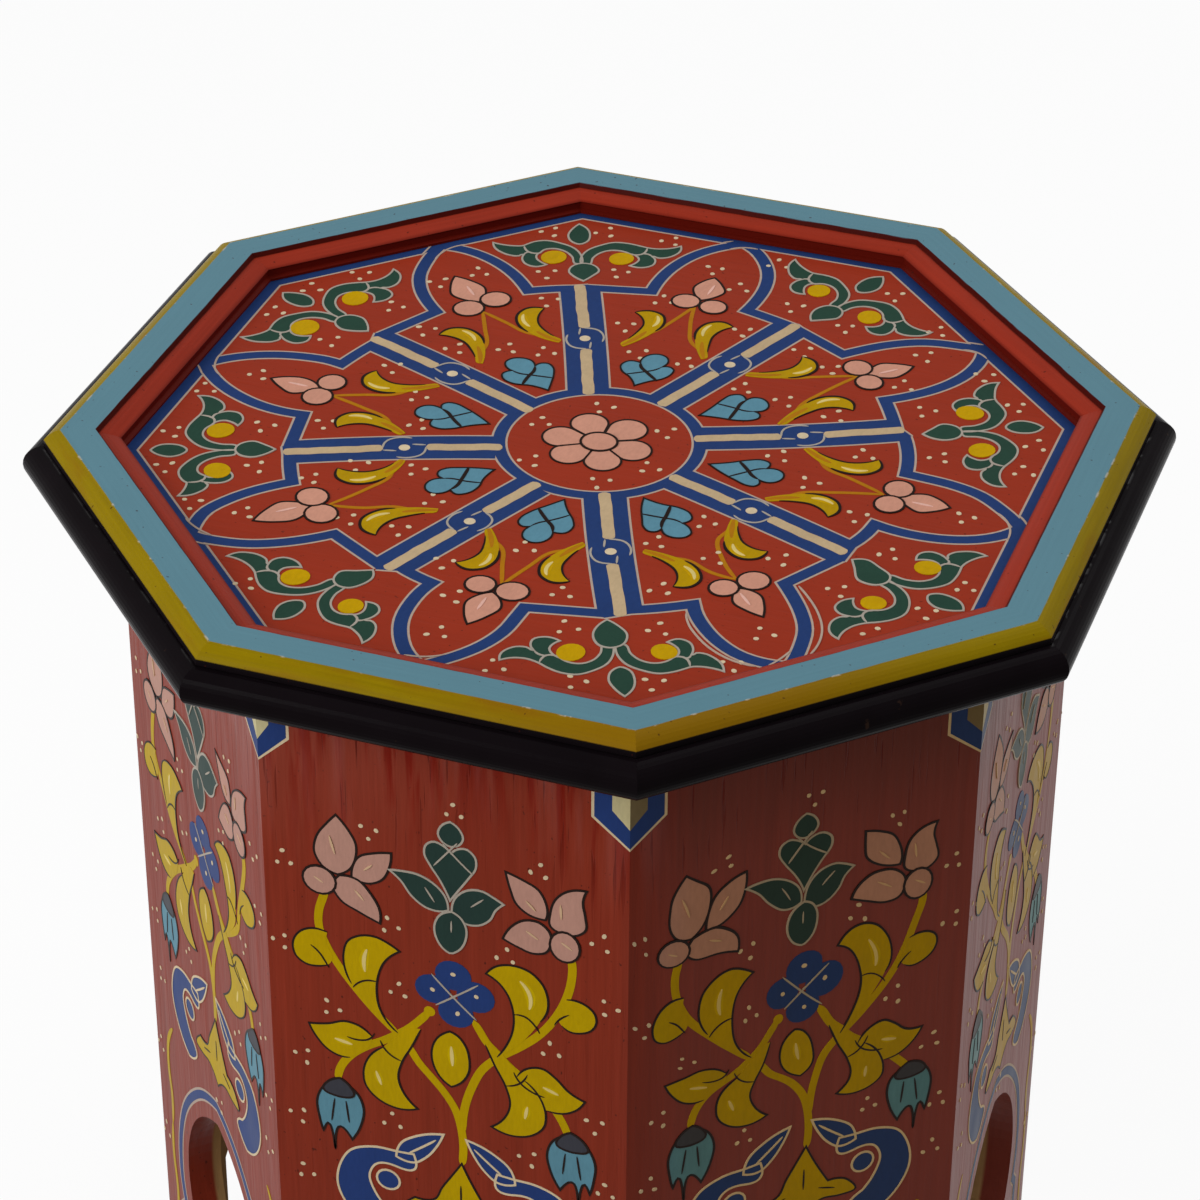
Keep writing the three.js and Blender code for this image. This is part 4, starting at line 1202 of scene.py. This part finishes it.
boardLook = {
    "fine": (420, (1, 1, 0.035), 3, 1.0), "broad": (120, (1, 1, 0.09), 4, 6.0),
    "slow": (14, (1, 1, 0.5), 3, 4.0),
    "fineTone": 0.8, "broadTone": 0.5, "slowTone": 0.5, "tones": (0.75, 1.25),
    "speck": (650, (1, 1, 0.6), 1, 9.0), "speckFrom": (0.73, 0.78), "specks": 0.7,
    "topFrom": (0.36, 0.425), "topStrays": 0.1, "lipFrom": (0.416, 0.428), "lip": 0.8,
    "westFrom": (-0.07, 0.09), "westSheen": 0.6, "westSheenTones": (0.8, 1.15), "eastSheen": 0.85, "eastSheenTones": (0.8, 1.2),
    "streak": (200, (1, 1, 0.07), 3, 31.0), "streakFrom": (0.5, 0.62), "streaks": 0.85,
    "streakAndShadeTones": (0.75, 1.1), "shaded": 0.8, "shadedTones": (0.85, 1.15),
    "crack": (620, (1, 1, 0.04), 2, 21.0), "crackFrom": (0.62, 0.68), "cracks": 0.1, "topCracks": 0.7,
    "grain": (160, (1, 1, 0.05), 4, 2.0), "woodTones": (0.6, 1.2), "paintDepth": (11.5, 9.5),
    "coatFrom": (0.45, 0.65), "coat": 0.35, "coatRoughness": 0.25,
    "woodRoughness": 0.75, "paintSmoother": 0.4, "uneven": 0.15,
    "fineBump": 0.7, "broadBump": 2.6, "crackBump": 1.5, "bump": 0.6, "sheen": 0.045}


def boardPaint():
    # outside lacquered red with upright brush marks, broad ones over fine ones. Below the moulding
    # it has a painted sheen of paler red in the west, painted shade in the east, darker red brush
    # streaks that partly stand in as painted shade, a band of painted shade right under the moulding,
    # cracks and a clear coat that breaks along the marks. Over the eastern boards lies a painted
    # sheen of greyer red. Inside and behind it is bare wood
    look = boardLook
    material, here, point = startMaterial("boardPaint")
    fine, broad, slow = (noise(point, *look[name]) for name in ("fine", "broad", "slow"))
    height = point.axis("Z")
    tone = fine.swing(look["fineTone"]) + broad.swing(look["broadTone"]) + slow.swing(look["slowTone"]) + 0.5
    red = specked(point, tone.bright(finish["boardRed"], *look["tones"]), look)
    nearTop = (height + slow.swing(look["topStrays"])).rise(*look["topFrom"])
    western = (0 - point.axis("X")).rise(*look["westFrom"])
    eastern = point.axis("X").rise(*brushLook["eastFrom"])
    # painted sheen: a paler red below the moulding in the west and a greyer red over the eastern boards
    westSheen = tone.bright(finish["westSheenRed"], *look["westSheenTones"])
    eastSheen = tone.bright(finish["eastSheenRed"], *look["eastSheenTones"])
    red = (nearTop * western * look["westSheen"]).blend(red, westSheen)
    # painted sheen: the greyer red laid over the eastern boards
    red = (eastern * look["eastSheen"]).blend(red, eastSheen)
    # darker red brush streaks near the top, plus painted shade: a darker band right under the moulding, and
    # painted shade over the whole upper part of the eastern boards
    streaks = nearTop * noise(point, *look["streak"]).rise(*look["streakFrom"]) * look["streaks"]
    streakAndShade = streaks.larger(height.rise(*look["lipFrom"]) * look["lip"])
    streakAndShade = streakAndShade + (nearTop * look["shaded"] - streakAndShade) * eastern
    streakAndShadeRed = tone.bright(finish["deepStreakAndShade"], *look["streakAndShadeTones"])
    shaded = tone.bright(finish["shadedBoard"], *look["shadedTones"])
    red = streakAndShade.blend(red, eastern.blend(streakAndShadeRed, shaded))
    crack = noise(point, *look["crack"]).rise(*look["crackFrom"])
    crack = crack * (nearTop * look["topCracks"] + look["cracks"])
    red = crack.blend(red, finish["crackRed"])
    wood = noise(point, *look["grain"]).bright(finish["bareWood"], *look["woodTones"])
    painted = apothem(point).rise(*((sideFace - depth) * mm for depth in look["paintDepth"]))
    coat = painted * nearTop * broad.rise(*look["coatFrom"]) * (1 - eastern) * look["coat"]
    roughness = look["woodRoughness"] - painted * look["paintSmoother"] + slow.swing(look["uneven"])
    bump = fine * look["fineBump"] + broad * look["broadBump"] - crack * look["crackBump"]
    endMaterial(here, painted.blend(wood, red), roughness, bump, look["bump"], look["sheen"],
                {"Coat Weight": coat, "Coat Roughness": look["coatRoughness"]})
    return material


# bands, how far they wander and the worn edge are millimetres; the stain lies round a place a little past the
# corner between boards 1 and 2
rimLook = {
    "yellowFrom": 184.8, "yellowSoft": (-0.2, 0.2), "underSoft": (-1, 1),
    "quirkTo": 172.9, "quirkSoft": (-0.1, 0.2), "redTo": 172.1, "redSoft": (-0.8, 0.1),
    "foot": 455.6, "footSoft": (-0.1, 0.5), "lowSoft": (1.1, 0.3), "lowShade": 0.6,
    "wander": (70, (1, 1, 1), 2, 3.0), "wanders": 0.6,
    "streak": (700, (1, 1, 0.03), 3, 5.0), "slow": (26, (1, 1, 1), 3, 7.0), "fine": (800, (1, 1, 1), 2, 9.0),
    "streakTone": 0.7, "slowTone": 0.5, "fineTone": 0.2,
    "wear": (150, (1, 1, 1), 4, 12.0), "wearFrom": (0.58, 0.66), "wearWidth": (0.1, 0.6), "wears": 0.7,
    "stainTurn": 6, "stainReach": (0.02, 0.12), "stain": 0.6,
    "patch": (60, (1, 1, 0.3), 3, 15.0), "patchFrom": (0.55, 0.7), "patches": 0.4,
    "blueTone": 0.6, "blueTones": (0.84, 1.16), "yellowTones": (0.72, 1.25), "redTones": (0.75, 1.25),
    "speck": (480, (1, 1, 1), 1, 19.0), "speckFrom": (0.74, 0.79), "specks": 0.7,
    "roughness": 0.38, "uneven": 0.25, "streakBump": 0.7, "fineBump": 0.3, "bump": 0.3}


def rimPaint():
    # bands by distance from the axis: yellow bevel, blue flat, the quirk step in a dark red of
    # painted shade, red band darkened towards its foot as painted shade; what lies under the band is
    # painted shade in dark red, or black paint below the bevel. Each is brushed along its side. White
    # shows where the edge between blue and yellow is worn, and a darker brown stains the yellow
    look = rimLook
    material, here, point = startMaterial("rimPaint")
    ring = roundTheRing(point)
    streak = noise(ring, *look["streak"])
    slow, fine = (noise(point, *look[name]) for name in ("slow", "fine"))
    across = apothem(point) + noise(point, *look["wander"]).swing(look["wanders"] * mm)
    height = point.axis("Z")
    tone = streak.swing(look["streakTone"]) + slow.swing(look["slowTone"])
    tone = tone + fine.swing(look["fineTone"]) + 0.5

    def past(wire, place, soft):
        # rises from 0 to 1 between the two soft distances past the named place
        return wire.rise(*((look[place] + distance) * mm for distance in look[soft]))

    angle = radians(sideTurn / 2 - 90 + look["stainTurn"])
    centre = (-edgeLow.y * cos(angle), -edgeLow.y * sin(angle), rimHigh.z)
    fromCentre = point.node("ShaderNodeVectorMath", {"operation": "DISTANCE"}, {0: point, 1: centre}, "Value")
    patches = noise(ring, *look["patch"]).rise(*look["patchFrom"]) * look["patches"]
    stain = (1 - fromCentre.rise(*look["stainReach"])) * look["stain"] + patches
    blue = (tone.swing(look["blueTone"]) + 0.5).bright(finish["rimBlue"], *look["blueTones"])
    yellow = stain.blend(tone.bright(finish["rimYellow"], *look["yellowTones"]), finish["stain"])
    red = tone.bright(finish["rimRed"], *look["redTones"])
    # painted shade: the red band darker towards its foot
    red = (past(height, "foot", "lowSoft") * look["lowShade"]).blend(red, finish["footShadeRed"])
    # painted shade in the quirk step between the blue flat and the red band
    colour = past(across, "redTo", "redSoft").blend(red, finish["quirkShadeRed"])
    colour = past(across, "quirkTo", "quirkSoft").blend(colour, blue)
    colour = past(across, "yellowFrom", "yellowSoft").blend(colour, yellow)
    offEdge = (across - look["yellowFrom"] * mm).size().rise(*(width * mm for width in look["wearWidth"]))
    worn = noise(point, *look["wear"]).rise(*look["wearFrom"]) * (1 - offEdge) * look["wears"]
    colour = worn.blend(colour, finish["worn"])
    # painted shade in dark red on the faces under the band; below the bevel they are black paint
    under = past(across, "yellowFrom", "underSoft").blend(finish["footShadeRed"], finish["edgeBlack"])
    colour = specked(point, past(height, "foot", "footSoft").blend(under, colour), look)
    bump = streak * look["streakBump"] + fine * look["fineBump"]
    endMaterial(here, colour, look["roughness"] + slow.swing(look["uneven"]), bump, look["bump"])
    return material


edgeLook = {"slow": (40, (1, 1, 1), 3, 2.0), "tones": (0.7, 1.3), "streak": (420, (1, 1, 0.04), 3, 6.0),
            "rub": (150, (1, 1, 1), 4, 8.0), "rubFrom": (0.7, 0.76), "rubs": 0.35,
            "glint": (300, (1, 1, 0.5), 2, 3.0), "glintFrom": (0.5, 0.6), "glints": 0.5,
            "outside": (7.5, 6.2), "below": (4, 1), "coatRoughness": 0.08,
            "roughness": 0.2, "uneven": 0.2, "streakBump": 0.5, "bump": 0.35, "sheen": 0.015}


def edgePaint():
    # thick glossy black: long brush marks, slow hollows, rubbed spots that show brown, and a clear
    # coat that glints in spots along the upper inner edge, away from the outside and the bottom
    look = edgeLook
    material, here, point = startMaterial("edgePaint")
    ring = roundTheRing(point)
    slow = noise(point, *look["slow"])
    rubbed = noise(point, *look["rub"]).rise(*look["rubFrom"]) * look["rubs"]
    inner = 1 - apothem(point).rise(*(-edgeLow.y - depth * mm for depth in look["outside"]))
    upper = point.axis("Z").rise(*(edgeHigh.z - depth * mm for depth in look["below"]))
    glint = noise(ring, *look["glint"]).rise(*look["glintFrom"]) * inner * upper * look["glints"]
    colour = rubbed.blend(slow.bright(finish["edgeBlack"], *look["tones"]), finish["rubbed"])
    bump = noise(ring, *look["streak"]) * look["streakBump"] + slow
    roughness = look["roughness"] + slow.swing(look["uneven"])
    endMaterial(here, colour, roughness, bump, look["bump"], look["sheen"],
                {"Coat Weight": glint, "Coat Roughness": look["coatRoughness"]})
    return material


woodLook = {"grain": (180, (0.08, 1, 1), 4, 3.0), "pore": (900, (0.1, 1, 1), 2, 5.0), "grainTone": 0.7,
            "poreTone": 0.3, "tones": (0.6, 1.25), "roughness": 0.75, "uneven": 0.2, "bump": 0.4}


def bareWood():
    # plain sawn wood, long grain and short pores
    look = woodLook
    material, here, point = startMaterial("bareWood")
    grain, pore = (noise(point, *look[name]) for name in ("grain", "pore"))
    colour = (grain * look["grainTone"] + pore * look["poreTone"]).bright(finish["bareWood"], *look["tones"])
    endMaterial(here, colour, look["roughness"] + pore.swing(look["uneven"]), grain, look["bump"])
    return material


steelLook = {"scratch": (1600, (1, 1, 0.2), 2, 3.0), "tones": (0.85, 1.15), "roughness": 0.3, "rougher": 0.25,
             "bump": 0.1}


def screwSteel():
    # brushed steel, its roughness going with fine scratches
    look = steelLook
    material, here, point = startMaterial("screwSteel")
    scratch = noise(point, *look["scratch"])
    colour = scratch.bright(finish["steel"], *look["tones"])
    roughness = look["roughness"] + scratch * look["rougher"]
    endMaterial(here, colour, roughness, scratch, look["bump"], fixed={"Metallic": 1.0})
    return material


nodeMaterials = {"top_board": fieldPaint(), "side_panel": boardPaint(), "rim_moulding": rimPaint(),
                 "edge_moulding": edgePaint(), "corner_block": bareWood(), "block_screw": screwSteel()}
nodeMaterials["rim_screw"] = nodeMaterials["block_screw"]
for name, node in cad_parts.items():
    material = next(nodeMaterials[kind] for kind in nodeMaterials if name.startswith(kind))
    for slot in node.material_slots:
        slot.material = material
    if not node.material_slots:
        node.data.materials.append(material)
print("packed nodes finished:", len(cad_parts))


# The painter's filler in the mitre joints. A joint's section is drawn as distance from the axis
# and height, with the wood on its right. One rim joint is open from the crack outwards.

filler = {"half": 0.2, "under": 0.005, "depth": 0.5, "mitreLimit": 0.4, "curvePoints": 6, "nosePoints": 13,
          "crack": 3, "crackFrom": 187.5}


def bowed(start, end, swell):
    # a shallow curve whose middle stands off the chord by the swell
    along = heading(start, end)
    bend = (start + end) / 2 + 2 * swell * np.array((-along[1], along[0]))
    t = np.linspace(0, 1, filler["curvePoints"])[:, None]
    return (1 - t) ** 2 * start + 2 * t * (1 - t) * bend + t ** 2 * end


def inwards(section, distance):
    # the section moved into the wood, by the mitre of each corner
    step = np.diff(section, axis=0)
    step /= np.linalg.norm(step, axis=1)[:, None]
    into = np.column_stack((step[:, 1], -step[:, 0]))
    before, after = np.vstack((into[:1], into)), np.vstack((into, into[-1:]))
    spread = np.maximum(1 + (before * after).sum(1), filler["mitreLimit"])
    return section + distance * (before + after) / spread[:, None]


def fillJoints(name, material, section, crack=None):
    # each joint's strip has three columns across it: one on the corner, two just into the wood
    across = np.array((-filler["half"], 0, filler["half"]))
    turnHalf = radians(sideTurn / 2)
    points, faces, start = [], [], 0
    for number in range(sides):
        line = section[section[:, 0] < crack] if crack and number == filler["crack"] else section
        ring = np.vstack((inwards(line, filler["under"]), inwards(line, filler["depth"])[::-1]))
        out = (ring[:, :1] - np.abs(across) * sin(turnHalf)) / cos(turnHalf)
        angle = radians(sideTurn * (number + 0.5) - 90)
        x = out * cos(angle) - across * sin(angle)
        y = out * sin(angle) + across * cos(angle)
        z = np.repeat(ring[:, 1:], 3, axis=1)
        points.append(np.stack((x, y, z), axis=-1).reshape(-1, 3) * mm)
        count = len(ring)
        this = np.arange(count)[:, None] * 3 + np.arange(2)[None, :]
        after = (this + 3) % (3 * count)
        walls = np.stack((this, after, after + 1, this + 1), axis=-1).reshape(-1, 4)
        ends = np.arange(count) * 3
        faces += [tuple(int(corner) + start for corner in face) for face in (*walls, ends[::-1], ends + 2)]
        start += 3 * count
    mesh = bpy.data.meshes.new(name)
    mesh.from_pydata(np.vstack(points), [], faces)
    mesh.materials.append(material)
    piece = bpy.data.objects.new(name, mesh)
    bpy.context.scene.collection.objects.link(piece)
    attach(piece, "root")


rimTop, rimFoot, edgeTop, edgeFoot = (place.z / mm for place in (rimHigh, rimLow, edgeHigh, edgeLow))

# parts of the rim's section from the inside outwards, each with the height that it is drawn from
# and how far it swells
rimProfile = (([(163.6, 0), (163.6, 0.9), (165.2, 1.6), (165.2, 4.1)], rimFoot, None),
              ([(164.5, -4.1), (172.1, -1.8)], rimTop, 0.5),
              ([(172.9, 0)], rimTop, None),
              ([(184.8, 0), (190.8, -4.2)], rimTop, 0.7),
              ([(190.8, 0.3)], edgeTop, None))
rimParts = [(np.array(points) + (0, height), swell) for points, height, swell in rimProfile]
rimSection = np.vstack([bowed(*points, swell) if swell else points for points, swell in rimParts])
nose = (edgeTop - edgeFoot) / 2
bend = np.radians(np.linspace(90, -90, filler["nosePoints"]))
edgeSection = (-edgeLow.y / mm - nose, edgeFoot + nose) + nose * np.column_stack((np.cos(bend), np.sin(bend)))
boardSection = np.array([(sideFace, sideHigh.z / mm), (sideFace, 0.0)])
fillJoints("rim_filler", nodeMaterials["rim_moulding"], rimSection, filler["crackFrom"])
fillJoints("edge_filler", nodeMaterials["edge_moulding"], edgeSection)
fillJoints("board_filler", nodeMaterials["side_panel"], boardSection)
print("joints filled: 3 pieces")


# Floor, light and camera. The world and the floor are white to the camera, and dimmer and tinted
# to the light that falls on the stool.

light = {"ambient": 0.42, "floorHalf": 20.0, "floorWhite": 0.92,
         "floorTint": (0.31, 0.26, 0.2, 1), "floorPale": (0.9, 0.9, 0.9, 1),
         "window": {"place": (-1.3, -1.5, 1.3), "size": 1.2, "power": 28.5},
         "ceiling": {"place": (0.8, 1.0, 2.2), "size": 1.6, "power": 14.0}}
camera = {"place": (0.42567, -1.2139, 1.23055), "azimuth": -19.363, "down": 33.502, "roll": 0.34,
          "lens": 121.43}


def seenRays(here):
    # 1 for what the camera sees straight, in a mirror or through glass
    straight, mirrored, through = (here.node("ShaderNodeLightPath", None, None, name) for name in
                                   ("Is Camera Ray", "Is Glossy Ray", "Is Transmission Ray"))
    return here.math("MINIMUM", straight + mirrored + through, 1.0)


def layFloor():
    # from below the camera sees through it
    half = light["floorHalf"]
    square = [(-half, -half, 0), (half, -half, 0), (half, half, 0), (-half, half, 0)]
    mesh = bpy.data.meshes.new("floor")
    mesh.from_pydata(square, [], [(0, 1, 2, 3)])
    floor = bpy.data.objects.new("floor", mesh)
    bpy.context.scene.collection.objects.link(floor)
    material, here, _ = startMaterial("paleFloor")
    glow = here.node("ShaderNodeEmission", None, {"Color": (1, 1, 1, 1), "Strength": 1.0})
    tinted, pale = (here.node("ShaderNodeBsdfDiffuse", None, {"Color": light[name]})
                    for name in ("floorTint", "floorPale"))
    seen = seenRays(here)
    shown = (seen * light["floorWhite"]).shade(seen.shade(tinted, pale), glow)
    below = here.node("ShaderNodeNewGeometry", None, None, "Backfacing")
    straight = here.node("ShaderNodeLightPath", None, None, "Is Camera Ray")
    shown = (below * straight).shade(shown, here.node("ShaderNodeBsdfTransparent"))
    here.node("ShaderNodeOutputMaterial", None, {"Surface": shown})
    mesh.materials.append(material)


def lightWorld():
    world = bpy.data.worlds.new("paleRoom")
    bpy.context.scene.world = world
    world.use_nodes = True
    world.node_tree.nodes.clear()
    here = Wire(world.node_tree)
    strength = seenRays(here) * (1 - light["ambient"]) + light["ambient"]
    back = here.node("ShaderNodeBackground", None, {"Color": (1, 1, 1, 1), "Strength": strength})
    here.node("ShaderNodeOutputWorld", None, {"Surface": back})


def hangLamp(name):
    lamp = bpy.data.lights.new(name, "AREA")
    lamp.shape = "SQUARE"
    lamp.size = light[name]["size"]
    lamp.energy = light[name]["power"]
    hung = bpy.data.objects.new(name, lamp)
    place = Vector(light[name]["place"])
    hung.location = place
    hung.rotation_euler = (Vector((0, 0, rimHigh.z)) - place).to_track_quat("-Z", "Y").to_euler()
    hung.visible_camera = False
    bpy.context.scene.collection.objects.link(hung)


def standCamera():
    lens = bpy.data.cameras.new("view")
    lens.lens = camera["lens"]
    eye = bpy.data.objects.new("view", lens)
    turn, down = radians(camera["azimuth"]), radians(camera["down"])
    forward = Vector((sin(turn) * cos(down), cos(turn) * cos(down), -sin(down)))
    eye.matrix_world = (Matrix.Translation(camera["place"])
                        @ forward.to_track_quat("-Z", "Y").to_matrix().to_4x4()
                        @ Matrix.Rotation(radians(camera["roll"]), 4, "Z"))
    bpy.context.scene.collection.objects.link(eye)
    bpy.context.scene.camera = eye


layFloor()
lightWorld()
hangLamp("window")
hangLamp("ceiling")
standCamera()
bpy.context.scene.view_settings.view_transform = "Standard"
print("stage set")
